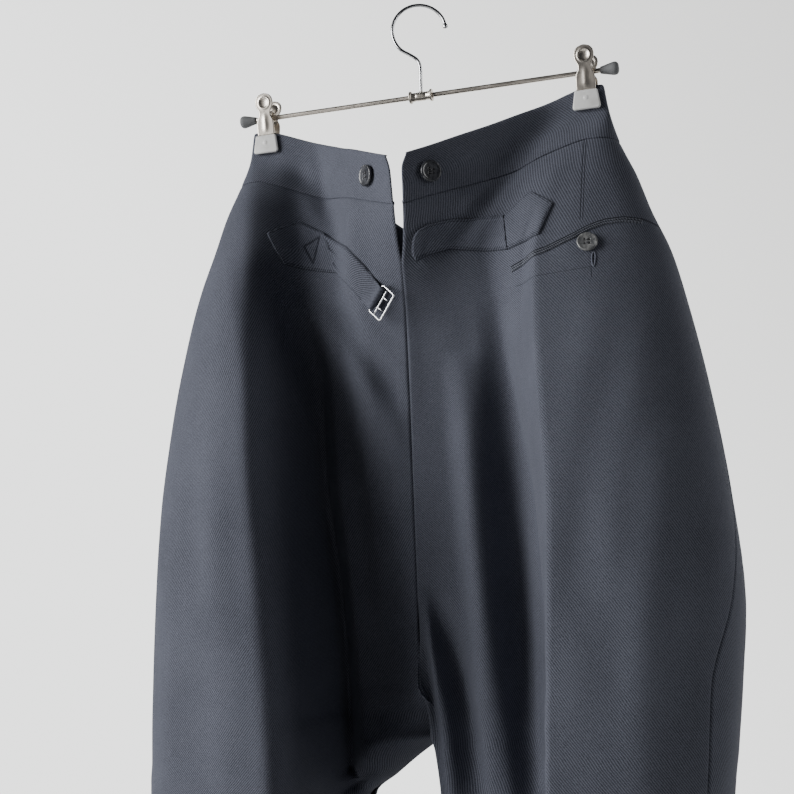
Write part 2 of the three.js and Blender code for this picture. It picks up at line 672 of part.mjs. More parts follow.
// Single-welt hip pocket on the right, and the plain fly at the front
const WELT_WIDTH = 5;
const pocketMouth = [
  [-84.2, -168.2], [-96, -164.2], [-108.7, -160.6], [-122, -155.7], [-137.5, -149], [-155, -140.2], [-172, -137],
  [-186.5, -138],
];
const flyFoot = -408;
hung.add(
  strip('pocket_welt', pieces.back_right, pocketMouth, pocketMouth.map(([x, z]) => [x, z - WELT_WIDTH]),
    { steps: 28, across: 2 }),
  strip('fly', pieces.front_left, [[2, -170], [2, -300], [2, flyFoot]], [[38, -146], [38, -300], [16, flyFoot]],
    { steps: 16, across: 3, facing: -1 }),
);

// Four-hole buttons, each standing off its cloth on its thread
function button(name, piece, x, z, radius, facing, finish) {
  const outline = new THREE.Shape();
  outline.absarc(0, 0, radius, 0, Math.PI * 2);
  for (const [i, j] of [[1, 1], [1, -1], [-1, 1], [-1, -1]]) {
    const hole = new THREE.Path();
    const corner = (turn) => new THREE.Vector2(1.6 * i + 0.9 * Math.cos(turn), 1.6 * j + 0.9 * Math.sin(turn));
    hole.setFromPoints([0, 1, 2, 3, 4, 5].map((k) => corner(Math.PI * k / 3)));
    outline.holes.push(hole);
  }
  const disc = named(name, plate(outline, 2.6, 0.6, 8), finish);
  const { point, normal } = onPiece(piece, x, z, facing);
  disc.position.copy(point).addScaledVector(normal, 1 + 1.3);
  disc.quaternion.setFromUnitVectors(new THREE.Vector3(0, 0, 1), normal);
  return disc;
}

const bandTop = (x) => BAND_LEVELS[0] - drop('front', Math.abs(x), BAND_LEVELS[0]);
hung.add(
  button('brace_button_back_left', pieces.band_left, 31.2, -83, BUTTON_RADIUS, 1, HORN),
  button('brace_button_back_right', pieces.band_right, -24.2, -88, BUTTON_RADIUS, 1, HORN),
  button('pocket_button', pieces.back_right, -147.5, -159, POCKET_BUTTON_RADIUS, 1, SMOKE_HORN),
  button('waist_button', pieces.band_left, 14, bandTop(14) - 20, BUTTON_RADIUS, -1, HORN),
);
for (const side of SIDES) {
  for (const [place, x] of [['inner', 60], ['outer', 98]]) {
    const at = side.sign * x;
    hung.add(button(`brace_button_front_${side.name}_${place}`, pieces[`band_${side.name}`], at,
      bandTop(at) - 18, BUTTON_RADIUS, -1, HORN));
  }
}

// Hanger: bar with rubber tips, a hook that is swivelled towards the viewer, and two clips
const WIRE = 1.5;
const LOOP_RADIUS = 23.5;
const SWIVEL = Math.PI * (1 + 18.4 / 180);
const COLLAR = { bore: 2.4, outer: 3.8, half: 10, flange: 5.2 };

function hook() {
  const centre = HOOK_TOP + WIRE - LOOP_RADIUS;
  const points = [[0, COLLAR.outer + 0.3], [0, 14], [0, 26], [-2.4, 33]];
  for (let angle = 250; angle > 0; angle -= 24.6) {
    const turn = THREE.MathUtils.degToRad(angle);
    points.push([LOOP_RADIUS * Math.cos(turn), centre + LOOP_RADIUS * Math.sin(turn)]);
  }
  const path = new THREE.CatmullRomCurve3(points.map(([u, z]) => new THREE.Vector3(u, 0, z)));
  const section = new THREE.Shape();
  section.absarc(0, 0, WIRE, 0, Math.PI * 2);
  const sweep = { steps: 44, extrudePath: path, bevelEnabled: false, curveSegments: 4 };
  const wire = new THREE.ExtrudeGeometry(section, sweep);
  const [u, z] = points.at(-1);
  const ball = new THREE.SphereGeometry(2.3, 10, 8).translate(u, 0, z);
  const mesh = fromSolid('hanger_hook', toSolid(wire).add(toSolid(ball)), CHROME);
  mesh.rotation.z = SWIVEL;
  return mesh;
}

const TIP = { root: 155.9, seat: 160, rootRadius: 3, headRadius: 5.5 };
const tipProfile = [[0, TIP.seat], [BAR_RADIUS + 0.3, TIP.seat], [BAR_RADIUS + 0.3, TIP.root],
  [TIP.rootRadius, TIP.root], [TIP.headRadius, HALF_GAUGE - 5], [TIP.headRadius, HALF_GAUGE - 3],
  [TIP.headRadius * 0.75, HALF_GAUGE - 0.8], [TIP.headRadius * 0.35, HALF_GAUGE], [0, HALF_GAUGE]];

function collar() {
  const { bore, outer, half, flange } = COLLAR;
  const rim = half - 1.5;
  return turned([[bore, -half], [flange, -half], [flange, -rim], [outer, -rim], [outer, rim], [flange, rim],
    [flange, half], [bore, half], [bore, -half]], 16);
}

const barEnd = TIP.seat - 0.3;
hung.add(
  named('hanger_bar', turned([[0, -barEnd], [BAR_RADIUS, -barEnd], [BAR_RADIUS, barEnd], [0, barEnd]], 12), NICKEL),
  named('hanger_collar', collar(), NICKEL),
  hook(),
);

// Clip: a spring round the bar, and a leaf with a dipped pad on each side of the cloth
const CLIP = {
  headRadius: 8.5, headTop: 20, neck: 5.6, body: 8, foot: -17, thickness: 1, headOut: 11.2, footOut: 5.6,
};
const PAD = { top: 10, foot: 12, height: 16.6, near: 4.7, far: 8.3 };
const SPRING = { inner: BAR_RADIUS + 0.3, outer: 7.2, half: 5 };

function leafOutline() {
  const { headRadius, headTop, neck, body, foot } = CLIP;
  const outline = new THREE.Shape();
  const centre = headTop - headRadius;
  outline.moveTo(body, foot);
  outline.lineTo(body, -7);
  outline.quadraticCurveTo(body, -2.5, neck, 0);
  outline.quadraticCurveTo(neck - 0.4, 3, neck + 0.6, centre - 6);
  outline.absarc(0, centre, headRadius, -0.78, Math.PI + 0.78);
  outline.quadraticCurveTo(0.4 - neck, 3, -neck, 0);
  outline.quadraticCurveTo(-body, -2.5, -body, -7);
  outline.lineTo(-body, foot);
  return outline;
}

for (const side of SIDES) {
  const x = side.sign * CLIP_X;
  const coil = tube(SPRING.inner, SPRING.outer, SPRING.half);
  const spring = named(`clip_${side.name}_spring`, turned(coil, 14), NICKEL);
  const tip = named(`hanger_tip_${side.name}`, turned(tipProfile, 12), RUBBER);
  spring.position.x = x;
  if (side.sign < 0) tip.rotation.z = Math.PI;
  hung.add(spring, tip);
  for (const [place, facing] of [['back', 1], ['front', -1]]) {
    const leaf = named(`clip_${side.name}_${place}`, plate(leafOutline(), CLIP.thickness, 0, 6), NICKEL);
    const lean = Math.atan2(CLIP.headOut - CLIP.footOut, CLIP.headTop - CLIP.foot);
    leaf.rotation.x = Math.PI / 2 - facing * lean;
    const rise = CLIP.foot / (CLIP.headTop - CLIP.foot);
    leaf.position.set(x, facing * (CLIP.footOut - (CLIP.headOut - CLIP.footOut) * rise), 0);
    const padTop = CLIP.foot - 0.4;
    const padFoot = padTop - PAD.height;
    const padOutline = polygon([[PAD.top, padTop], [PAD.foot, padFoot + 2], [PAD.foot - 2, padFoot],
      [2 - PAD.foot, padFoot], [-PAD.foot, padFoot + 2], [-PAD.top, padTop]]);
    const pad = named(`pad_${side.name}_${place}`, plate(padOutline, PAD.far - PAD.near, 0.6, 1), VINYL);
    pad.rotation.x = Math.PI / 2;
    pad.position.set(x, facing * (PAD.near + PAD.far) / 2, 0);
    hung.add(leaf, pad);
  }
}

export default garment;
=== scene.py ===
"""High-waisted wool trousers that hang from a clip hanger, seen from their back. Metres, +Z up.

Points are worked out in mm from the middle of the hanger's bar, and mesh_of puts them in the frame.
"""
import json
import math

import bpy
import numpy as np
from mathutils import Matrix, Vector


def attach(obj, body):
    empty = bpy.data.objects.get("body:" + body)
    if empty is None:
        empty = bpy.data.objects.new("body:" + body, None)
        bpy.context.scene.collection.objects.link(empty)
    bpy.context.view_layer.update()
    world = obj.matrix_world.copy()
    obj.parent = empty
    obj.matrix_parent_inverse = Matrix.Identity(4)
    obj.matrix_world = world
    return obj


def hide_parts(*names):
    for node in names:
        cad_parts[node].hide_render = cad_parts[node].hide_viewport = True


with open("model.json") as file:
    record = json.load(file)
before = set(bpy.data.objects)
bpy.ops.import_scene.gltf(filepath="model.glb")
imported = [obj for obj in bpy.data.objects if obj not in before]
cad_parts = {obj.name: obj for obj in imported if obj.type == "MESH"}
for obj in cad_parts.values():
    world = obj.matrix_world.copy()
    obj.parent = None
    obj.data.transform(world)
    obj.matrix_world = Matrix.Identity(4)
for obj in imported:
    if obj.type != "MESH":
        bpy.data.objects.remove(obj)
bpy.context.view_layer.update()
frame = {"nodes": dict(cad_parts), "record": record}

# Camera: held a little below the hip and to the wearer's right of centre back, looking up at
# the waist and tilted a degree and a half, as in the photograph. The hanger's bar is BAR_DROP mm
# below the inside of the hook's top, which is the origin.
BAR_DROP = 81.5
DISTANCE, ASIDE, BELOW_BAR = 1.080337, -0.027735, 0.408334
SENSOR, FOCAL_PIXELS, PHOTO_PIXELS = 36, 1300.3133, 794
turn, pitch, tilt = (math.radians(a) for a in (18.36843, 7.72419, -1.50647))
ahead = Vector((math.sin(turn), -math.cos(turn), 0))
across = ahead.cross(Vector((0, 0, 1)))
sight = ahead * math.cos(pitch) + Vector((0, 0, math.sin(pitch)))
upward = across.cross(sight)
camera = bpy.data.objects.new("camera", bpy.data.cameras.new("camera"))
bpy.context.scene.collection.objects.link(camera)
way_right = across * math.cos(tilt) + upward * math.sin(tilt)
way_up = upward * math.cos(tilt) - across * math.sin(tilt)
place = across * ASIDE - ahead * DISTANCE - Vector((0, 0, BELOW_BAR + BAR_DROP / 1000))
turned = Matrix((way_right, way_up, -sight)).transposed().to_4x4()
camera.matrix_world = Matrix.Translation(place) @ turned
camera.data.sensor_width = SENSOR
camera.data.lens = SENSOR * FOCAL_PIXELS / PHOTO_PIXELS
bpy.context.scene.camera = camera


# Cloth: a charcoal wool twill with a faint blue cast. Its diagonal ribs are 1.7 mm apart, single
# pale fibres fleck it, and a short nap catches light along the folds.
class Signal:
    """One output of a finish's node; arithmetic on it adds Math nodes."""

    def __init__(self, finish, socket):
        self.finish, self.socket = finish, socket

    def out(self, name):
        return Signal(self.finish, self.socket.node.outputs[name])

    def math(self, operation, first, second=0.0):
        return self.finish.add("Math", {"operation": operation}, {0: first, 1: second})

    def __add__(self, other):
        return self.math("ADD", self, other)

    def __sub__(self, other):
        return self.math("SUBTRACT", self, other)

    def __rsub__(self, other):
        return self.math("SUBTRACT", other, self)

    def __mul__(self, other):
        return self.math("MULTIPLY", self, other)

    def wave(self):
        return self.math("SINE", self)

    def size(self):
        return self.math("ABSOLUTE", self)

    def most(self, other):
        return self.math("MAXIMUM", self, other)

    def smooth(self, low, high):
        """0 below low, 1 above high, soft between; the other way round where low is above high."""
        limits = {"From Min": low, "From Max": high, "To Min": 0.0, "To Max": 1.0}
        return self.finish.add("MapRange", {"interpolation_type": "SMOOTHSTEP"}, {0: self, **limits})

    __radd__, __rmul__ = __add__, __mul__


class Finish:
    """A material, or the room's light, and the nodes that give it its detail."""

    def __init__(self, name, kind="materials"):
        self.owner = getattr(bpy.data, kind).new(name)
        self.owner.use_nodes = True
        self.tree = self.owner.node_tree

    def add(self, kind, settings=None, inputs=None, out=0):
        node = self.tree.nodes.new("ShaderNode" + kind)
        for name, value in (settings or {}).items():
            setattr(node, name, value)
        for name, value in (inputs or {}).items():
            self.feed(node.inputs[name], value)
        return Signal(self, node.outputs[out])

    def feed(self, socket, value):
        if isinstance(value, Signal):
            self.tree.links.new(value.socket, socket)
        elif socket.type == "RGBA":
            socket.default_value = (*value, 1.0)
        else:
            socket.default_value = value

    def blend(self, factor, first, second):
        return self.add("Mix", {"data_type": "RGBA"}, {0: factor, 6: first, 7: second}, 2)

    def noise(self, place, scale, detail=2.0, roughness=0.5):
        inputs = {"Vector": place, "Scale": scale, "Detail": detail, "Roughness": roughness}
        return self.add("TexNoise", None, inputs)

    def place(self):
        return self.add("TexCoord", out="Object")

    def bump(self, height, distance, strength=1.0):
        return self.add("Bump", None, {"Height": height, "Distance": distance, "Strength": strength})

    def surface(self, **inputs):
        shader = self.tree.nodes["Principled BSDF"]
        for name, value in inputs.items():
            self.feed(shader.inputs[name.replace("_", " ")], value)
        return self.owner


def twill(name, dark, light, grooves=(), stitched=False):
    """Wool twill. A groove is a stitched line or a pressed seam from one (x, z) to another, and its
    width, in mm; each groove is sunk in the bump and darkened with painted shade. Where asked for,
    a point attribute darkens the cloth too: along stitches, partly as dark thread and partly as
    painted shade, and with painted shadow at turned edges and in the pocket's slit. The ribs and
    yarns are waves, in radians for each metre of run and of fall."""
    finish = Finish(name)
    weave = finish.add("UVMap", {"uv_map": "weave"})
    apart = finish.add("SeparateXYZ", None, {0: weave})
    run, fall = apart.out("X"), apart.out("Y")
    place = finish.place()
    waver = finish.noise(place, 90.0)
    rib = (run * 2900.0 + fall * 2300.0 + waver * 2.2).wave() * 0.5 + 0.5
    yarn = (run * 2300.0 - fall * 4700.0 + waver * 3.0).wave() * 0.5 + 0.5
    fleck = finish.noise(place, 1500.0, 3.0, 0.7)
    patchy = finish.noise(place, 14.0, 4.0, 0.55)
    worn = finish.noise(place, 3.2, 2.0)
    relief = rib * 0.52 + rib * yarn * 0.3 + fleck * 0.4
    tone = (relief - 0.42) * 0.85 + (fleck - 0.5) * 1.4
    tone = tone + (patchy - 0.5) * 0.35 + (worn - 0.5) * 0.25 + 0.42
    depth = None
    if grooves:
        at = finish.add("SeparateXYZ", None, {0: place})
        x, z = at.out("X") * 1000.0, at.out("Z") * 1000.0 + BAR_DROP
        for (x0, z0), (x1, z1), width in grooves:
            length = math.hypot(x1 - x0, z1 - z0)
            ux, uz = (x1 - x0) / length, (z1 - z0) / length
            beside = ((x - x0) * -uz + (z - z0) * ux).size()
            past = (((x - x0) * ux + (z - z0) * uz) - length / 2).size() - length / 2
            line = beside.smooth(width, width * 0.3) * past.smooth(0.8, 0.0)
            depth = line if depth is None else depth.most(line)
        # Painted shade: the cloth is darkened along each groove.
        tone = tone - depth * 0.5
    # Darker where the point attribute says: stitches, partly dark thread and partly painted shade in
    # their grooves, and painted shadow lines at turned edges and in the pocket's slit.
    if stitched:
        tone = tone - finish.add("Attribute", {"attribute_name": "stitch_and_shade"}, out="Fac") * 0.45
    colour = finish.blend(tone.smooth(0.0, 1.0), dark, light)
    height = relief + patchy * 0.3
    if depth is not None:
        height = height - depth * 3.0
    return finish.surface(
        Base_Color=colour, Roughness=tone * -0.12 + 0.95, Specular_IOR_Level=0.25,
        Sheen_Weight=0.1, Sheen_Roughness=0.45, Sheen_Tint=(0.72, 0.78, 0.95),
        Normal=finish.bump(height, 0.00028, 0.8))


WOOL_DARK, WOOL_LIGHT = (0.025, 0.027, 0.037), (0.128, 0.136, 0.172)


# The hang of the trousers: two tubes of cloth that share a waist. The clips pull the waist flat
# at both ends, so it dips between them, and the fullness of the hips falls in large soft folds.
# Millimetres from the middle of the hanger's bar; L is the wearer's left.
def table(names, *rows):
    """The columns of a table of heights, by name; its rows come from the top down."""
    return dict(zip(names.split(), np.array(rows, float)[::-1].T))


OUTLINE = table(
    "z outL outR inL inR sideY",
    (-13, 158, 158, 0, 0, 0), (-34, 161, 161, 0, 0, 0), (-64, 169, 169, 0, 0, 0),
    (-95, 181, 182, 0, 0, 2), (-125, 191, 192, 0, 0, 3), (-160, 204, 206, 0, 0, 4),
    (-200, 215, 216, 0, 0, 5), (-272, 229, 230, 0, 0, 6), (-350, 240, 241, 0, 0, 8),
    (-430, 246, 247, 0, 0, 8), (-499, 249, 241, 0, 0, 8), (-540, 250, 236, 0, 0, 8),
    (-548, 250, 235, 12, 3, 8), (-560, 250, 233, 29, 5, 8), (-575, 251, 231, 48, 7, 8),
    (-592, 251, 229, 71, 9, 8), (-640, 249, 226, 80, 22, 8), (-720, 247, 224, 84, 40, 6),
    (-850, 245, 223, 86, 56, 4), (-1000, 243, 222, 86, 63, 2), (-1113, 242, 222, 86, 66, 0))
BACK = table(
    "z middle floor crest crestL crestR wallL wallR",
    (-13, 100, 3.2, 3.2, 155, 155, 40, 60), (-34, 96, 3.4, 3.4, 157, 157, 40, 62),
    (-64, 88, 8, 22, 150, 143, 40, 64), (-95, 81, 14, 37, 150, 126, 42, 60),
    (-125, 75, 24, 47, 148, 116, 44, 54), (-160, 68, 37, 58, 143, 108, 42, 46),
    (-200, 60, 47, 70, 131, 108, 36, 36), (-272, 55, 53, 90, 113, 112, 28, 26),
    (-350, 52, 51, 97, 106, 116, 24, 16), (-430, 49, 49, 100, 96, 114, 24, 9),
    (-465, 47, 48, 100, 94, 112, 24, 8), (-499, 49, 49, 100, 92, 111, 24, 8),
    (-507, 38, 49, 100, 92, 110, 24, 8), (-513, 20, 49, 100, 92, 110, 24, 8),
    (-520, 4, 49, 100, 92, 109, 24, 8), (-530, -20, 49, 100, 91, 109, 24, 8),
    (-540, -36, 49, 100, 91, 109, 24, 8), (-548, -36, 50, 100, 91, 108, 24, 8),
    (-560, -34, 50, 100, 91, 108, 24, 8), (-592, -30, 52, 99, 94, 108, 26, 9),
    (-640, -24, 54, 96, 104, 110, 30, 12), (-720, -16, 52, 88, 124, 116, 40, 26),
    (-850, -8, 46, 74, 146, 128, 50, 50), (-1000, -3, 40, 60, 160, 140, 56, 56),
    (-1113, 0, 36, 52, 164, 144, 60, 60))
FRONT = table(
    "z middle floor crest crestL crestR",
    (-13, 52, 3.2, 3.2, 155, 155), (-34, 52, 3.4, 3.4, 157, 157), (-64, 52, 8, 12, 150, 150),
    (-95, 52, 14, 22, 140, 140), (-160, 50, 28, 41, 128, 128), (-272, 45, 38, 64, 118, 118),
    (-350, 43, 41, 73, 114, 114), (-430, 42, 42, 80, 110, 110), (-499, 43, 42, 84, 107, 107),
    (-540, 42, 42, 84, 107, 107), (-548, 36, 42, 84, 107, 107), (-560, 34, 42, 84, 108, 107),
    (-592, 30, 42, 84, 111, 107), (-640, 24, 42, 82, 118, 109), (-720, 16, 40, 76, 134, 116),
    (-850, 8, 36, 64, 150, 130), (-1000, 3, 33, 52, 160, 140), (-1113, 0, 30, 46, 164, 144))
FRONT_WALL = 66
SIDE_SEAM = table(
    "z L R",
    (-13, 1, 1), (-272, 1, 1), (-350, 1, 0.96), (-430, 1, 0.78), (-499, 1, 0.66), (-592, 1, 0.67),
    (-720, 1, 0.82), (-1000, 1, 1), (-1113, 1, 1))
DIP = table(
    "z back front",
    (-13, 66, 116), (-64, 53, 101), (-110, 38, 76), (-160, 22, 46), (-210, 9, 20), (-260, 0, 0),
    (-1113, 0, 0))
NOTCH = table(
    "z half",
    (-79, 9.6), (-90, 5.6), (-105, 5), (-125, 4.2), (-145, 2.6), (-165, 0), (-1113, 0))
# How far the back falls in between the two large folds, at its middle seam and beside it, the
# direction that it falls in, and where that ends, from each large fold's crest
HOLLOW = table(
    "z middle beside",
    (-13, 0, 0), (-110, 0, 0), (-140, 6, 6), (-170, 14, 14), (-200, 22, 22), (-272, 38, 38),
    (-350, 50, 50), (-430, 58, 58), (-499, 54, 58), (-507, 42, 57), (-513, 28, 56), (-520, 16, 55),
    (-530, 2, 52), (-540, 0, 48), (-560, 0, 42), (-592, 0, 34), (-640, 0, 22), (-720, 0, 8),
    (-850, 0, 0), (-1113, 0, 0))
HOLLOW_WAY = (0.315, -0.949)
HOLLOW_END = {"L": (-28, 18), "R": (-10, 0)}
# Folds: the face and half, a bent line of three points (x, z), the height, which is negative for a
# valley, the width to each side, and the power of its fading: the lower, the longer it stays full
FOLDS = (
    ("back", "L", ((112, -130), (86, -445), (66, -760)), -30, 34, 0.7),
    ("back", "L", ((98, -4), (82, -150), (62, -330)), -18, 40, 1.0),
    ("back", "R", ((74, -190), (88, -475), (86, -760)), -14, 20, 0.7),
    ("back", "R", ((46, -230), (56, -405), (62, -580)), 16, 22, 0.7),
    # waistband and yoke
    ("back", "R", ((118, -30), (84, -66), (52, -108)), -7, 20, 0.8),
    ("back", "R", ((108, -58), (76, -96), (40, -150)), -4, 12, 0.8),
    ("back", "R", ((104, -22), (70, -44), (30, -72)), 2.5, 13, 0.8),
    ("back", "L", ((124, -44), (84, -90), (74, -176)), -6, 18, 1.0),
    ("back", "L", ((100, -24), (92, -56), (88, -100)), -2.5, 11, 1.0),
    ("back", "L", ((70, -18), (62, -40), (56, -72)), -1.6, 12, 1.0),
    ("back", "L", ((104, -168), (60, -226), (8, -316)), 4.5, 20, 0.8),
    ("back", "L", ((84, -170), (40, -220), (2, -280)), -4.5, 16, 0.8),
    ("back", "L", ((78, -160), (57, -290), (40, -520)), -4.5, 16, 1.4),
    # under the pocket and down the thigh
    ("back", "R", ((176, -210), (150, -330), (140, -470)), -2.2, 26, 0.8),
    ("back", "R", ((200, -300), (186, -430), (176, -620)), 2.4, 24, 0.8),
    ("back", "L", ((196, -210), (182, -400), (176, -640)), -2.6, 28, 0.8),
    ("back", "L", ((160, -260), (148, -430), (140, -620)), 2.0, 26, 0.8),
    ("back", "L", ((222, -330), (214, -470), (206, -700)), 2.2, 20, 0.8),
    # from the crotch down the right leg
    ("back", "R", ((14, -420), (32, -490), (46, -600)), -12, 15, 0.7),
    ("back", "R", ((4, -432), (16, -500), (28, -610)), 7, 10, 0.6),
    ("back", "R", ((2, -455), (10, -500), (16, -560)), -6, 8, 0.7),
    # front: the fall of the pleats and the pull from the fly
    ("front", "L", ((70, -130), (84, -420), (104, -820)), -9, 26, 0.7),
    ("front", "R", ((70, -130), (82, -420), (96, -820)), -9, 26, 0.7),
    ("front", "L", ((104, -60), (60, -130), (20, -200)), -5, 20, 0.8),
    ("front", "R", ((104, -60), (60, -130), (20, -200)), -5, 20, 0.8),
    ("front", "L", ((190, -240), (182, -420), (176, -640)), 3, 24, 0.8),
    ("front", "R", ((190, -240), (182, -420), (172, -640)), 3, 24, 0.8),
    ("front", "L", ((12, -410), (40, -470), (78, -560)), -6, 16, 0.7),
    ("front", "R", ((10, -410), (36, -470), (64, -560)), -6, 16, 0.7),
)
# How square each side is, and the width and squareness of the turn at a leg's inner edge
SIDE_ROUND = {"L": 2.0, "R": 2.6}
LEG_EDGE = {"L": (34, 2.0), "R": (18, 3.5)}
FRONT_EDGE = (30, 2.0)
# The power of the dip from a clip to the middle, and where a seam's turned edge starts and ends
DIP_POWER = {"back": 1.15, "front": 0.95}
TURN_END, TURN_START = 1.3, 4
CLIP_X, BAND_FOOT, NOTCH_FOOT, HEM = 144.0, -64.0, -165, -1113.0


def column(shape, name, z):
    """A table's column at a height, by a cubic that never overshoots its rows."""
    xs, ys = shape["z"], shape[name]
    step, slope = np.diff(xs), np.diff(ys) / np.diff(xs)
    tangent = np.zeros(len(xs))
    for i in range(1, len(xs) - 1):
        if slope[i - 1] * slope[i] > 0:
            w1, w2 = 2 * step[i] + step[i - 1], step[i] + 2 * step[i - 1]
            tangent[i] = (w1 + w2) / (w1 / slope[i - 1] + w2 / slope[i])
    tangent[0], tangent[-1] = slope[0], slope[-1]
    z = np.clip(z, xs[0], xs[-1])
    i = np.clip(np.searchsorted(xs, z) - 1, 0, len(step) - 1)
    t, h = (z - xs[i]) / step[i], step[i]
    return (ys[i] * (1 + 2 * t) * (1 - t) ** 2 + tangent[i] * h * t * (1 - t) ** 2
            + ys[i + 1] * t * t * (3 - 2 * t) + tangent[i + 1] * h * t * t * (t - 1))


def fold_height(half, face, x, z):
    """How far the folds of one half's face stand out of it, all together."""
    total = np.zeros(np.broadcast(x, z).shape)
    for fold_face, fold_half, points, height, width, taper in FOLDS:
        if (fold_face, fold_half) != (face, half):
            continue
        (x0, z0), (x1, z1), (x2, z2) = points
        t = np.clip((z0 - z) / (z0 - z2), 0, 1)
        bend = (z0 - z1) / (z0 - z2)
        ridge = x0 + (x2 - x0) * t + (x1 - x0 - (x2 - x0) * bend) * t * (1 - t) / (bend * (1 - bend))
        lean = math.cos(math.atan2(abs(x2 - x0), z0 - z2))
        side = np.clip((x - ridge) * lean / width, -1, 1)
        total += height * np.sin(np.pi * t) ** taper * (0.5 + 0.5 * np.cos(np.pi * side))
    return total


def eased(t):
    """From 0 to 1 with level ends."""
    return t * t * (3 - 2 * t)


def squared(k, power):
    """A quarter turn from 0 to 1, squarer for a higher power."""
    return (1 - (1 - k) ** power) ** (1 / power)


def face_depth(half, face, x, z):
    """Depth of one half's back or front face, x from the middle and z from the bar."""
    shape, forward, power = (BACK, 1, SIDE_ROUND[half]) if face == "back" else (FRONT, -1, 2.0)
    out, inseam = column(OUTLINE, "out" + half, z), column(OUTLINE, "in" + half, z)
    side = column(OUTLINE, "sideY", z) * forward
    middle, floor, crest = (column(shape, name, z) for name in ("middle", "floor", "crest"))
    crest_x = column(shape, "crest" + half, z)
    wall = column(BACK, "wall" + half, z) if face == "back" else FRONT_WALL
    t = np.clip((x - crest_x + wall) / wall, 0, 1)
    inner = floor + (crest - floor) * eased(t)
    t = np.clip((x - crest_x) / np.maximum(out - crest_x, 1), 0, 1)
    y = np.where(x < crest_x, inner, side + (crest - side) * squared(1 - t, power))
    y = y + np.maximum(middle - floor, 0) * np.clip(1 - x / CLIP_X, 0, 1) ** 2
    width, square = LEG_EDGE[half] if face == "back" else FRONT_EDGE
    k = np.clip((x - inseam) / width, 0, 1)
    y = y - np.maximum(floor - middle, 0) * (1 - squared(k, square))
    edge = np.clip((out - x) / 18, 0, 1) * np.clip((x - inseam) / 12, 0, 1)
    y = y + fold_height(half, face, x, z) * edge
    y = y + edge * (0.5 * np.sin(x / 11 + z / 47 + 1.3 * forward) * np.sin(z / 61 + x / 90)
                    + 0.35 * np.sin(x / 6.3 - z / 83) * np.sin(z / 37 + 2.1))
    return y * forward


def hollow(half, x, z):
    """How far the back falls in at a place between the large folds."""
    inseam, crest = column(OUTLINE, "in" + half, z), column(BACK, "crest" + half, z)
    width, square = LEG_EDGE[half]
    k = squared(np.clip((x - inseam) / width, 0, 1), square)
    low, high = HOLLOW_END[half]
    t = np.clip((x - crest - low) / (high - low), 0, 1)
    middle, beside = column(HOLLOW, "middle", z), column(HOLLOW, "beside", z)
    return (middle + (beside - middle) * k) * (1 - eased(t))


def face_line(half, face, level):
    """Points of a level on one half's face, from the notch or inseam out to the side, and their x."""
    out = column(OUTLINE, "out" + half, level)
    slit = 0
    if face == "back" and level >= NOTCH_FOOT:
        slit = column(NOTCH, "half", level - column(DIP, "back", level))
    start = max(column(OUTLINE, "in" + half, level), slit)
    x = start + (out - start) * (1 - np.cos(np.pi * np.linspace(0, 1, 420))) / 2
    z = level - column(DIP, face, level) * np.clip(1 - x / CLIP_X, 0, 1) ** DIP_POWER[face]
    line = np.stack([x, face_depth(half, face, x, z), z], -1)
    if face == "back":
        fall = hollow(half, x, z)
        line[:, 0] += fall * HOLLOW_WAY[0] * (1 if half == "L" else -1)
        line[:, 1] += fall * HOLLOW_WAY[1]
    return line, x


def run_of(line):
    """The length along a line up to each of its points."""
    return np.r_[0, np.cumsum(np.linalg.norm(np.diff(line, axis=0), axis=1))]


def level_row(half, level, piece, counts):
    """One level of a panel or of a band half, from the middle of the back forwards, and its runs."""
    back, back_x = face_line(half, "back", level)
    front, front_x = face_line(half, "front", level)
    back_run, front_run = run_of(back), run_of(front)
    line = np.concatenate([front, back[:-1][::-1]])
    run = run_of(line)
    whole, side = run[-1], front_run[-1]
    inseam = float(column(OUTLINE, "in" + half, level))
    crest_x = float(column(BACK, "crest" + half, level))
    leg_edge = min(inseam + LEG_EDGE[half][0], crest_x - 6)
    crest, back_edge = whole - np.interp((crest_x, leg_edge), back_x, back_run)
    front_marks = float(column(FRONT, "crest" + half, level)), inseam + FRONT_EDGE[0]
    front_crest, front_edge = np.interp(front_marks, front_x, front_run)
    seam = crest + (side - crest) * float(column(SIDE_SEAM, half, level))
    stops = {
        "back": [whole, whole - TURN_END, whole - TURN_START, back_edge, crest, seam + TURN_START,
                 seam + TURN_END, seam],
        "front": [seam, seam - TURN_END, seam - TURN_START, front_crest, front_edge, TURN_START,
                  TURN_END, 0],
        "band": [whole, whole - TURN_END, crest, side, front_crest, TURN_END, 0],
    }[piece]
    places = np.concatenate([[stops[0]]] + [
        np.linspace(a, b, count + 1)[1:] for a, b, count in zip(stops, stops[1:], counts)])
    row = np.stack([np.interp(places, run, line[:, k]) for k in range(3)], -1)
    row[:, 0] *= 1 if half == "L" else -1
    return row, (front_crest if piece == "front" else crest) - places


def cloth_grid(half, levels, piece, counts):
    """The points of a panel or of a band half, and the runs and levels of its weave."""
    rows = [level_row(half, level, piece, counts) for level in levels]
    grid = np.array([row for row, _ in rows])
    runs = np.array([run for _, run in rows])
    return grid, np.stack([runs, np.broadcast_to(levels[:, None], runs.shape)], -1)


def normals_of(grid):
    """Unit normals of a grid, all on the one side that its rows and columns give."""
    normal = np.cross(np.gradient(grid, axis=1), np.gradient(grid, axis=0))
    return normal / np.maximum(np.linalg.norm(normal, axis=2, keepdims=True), 1e-9)


def outward(grid):
    """Unit normals of a leg's or a waist half's grid, out of the garment."""
    normal = normals_of(grid)
    leg_middle = np.sign(grid[..., 0].mean()) * 120.0
    way = (grid - np.array([leg_middle, 0, 0])) * (1, 1, 0)
    return normal * (1 if (normal * way).sum() > 0 else -1)


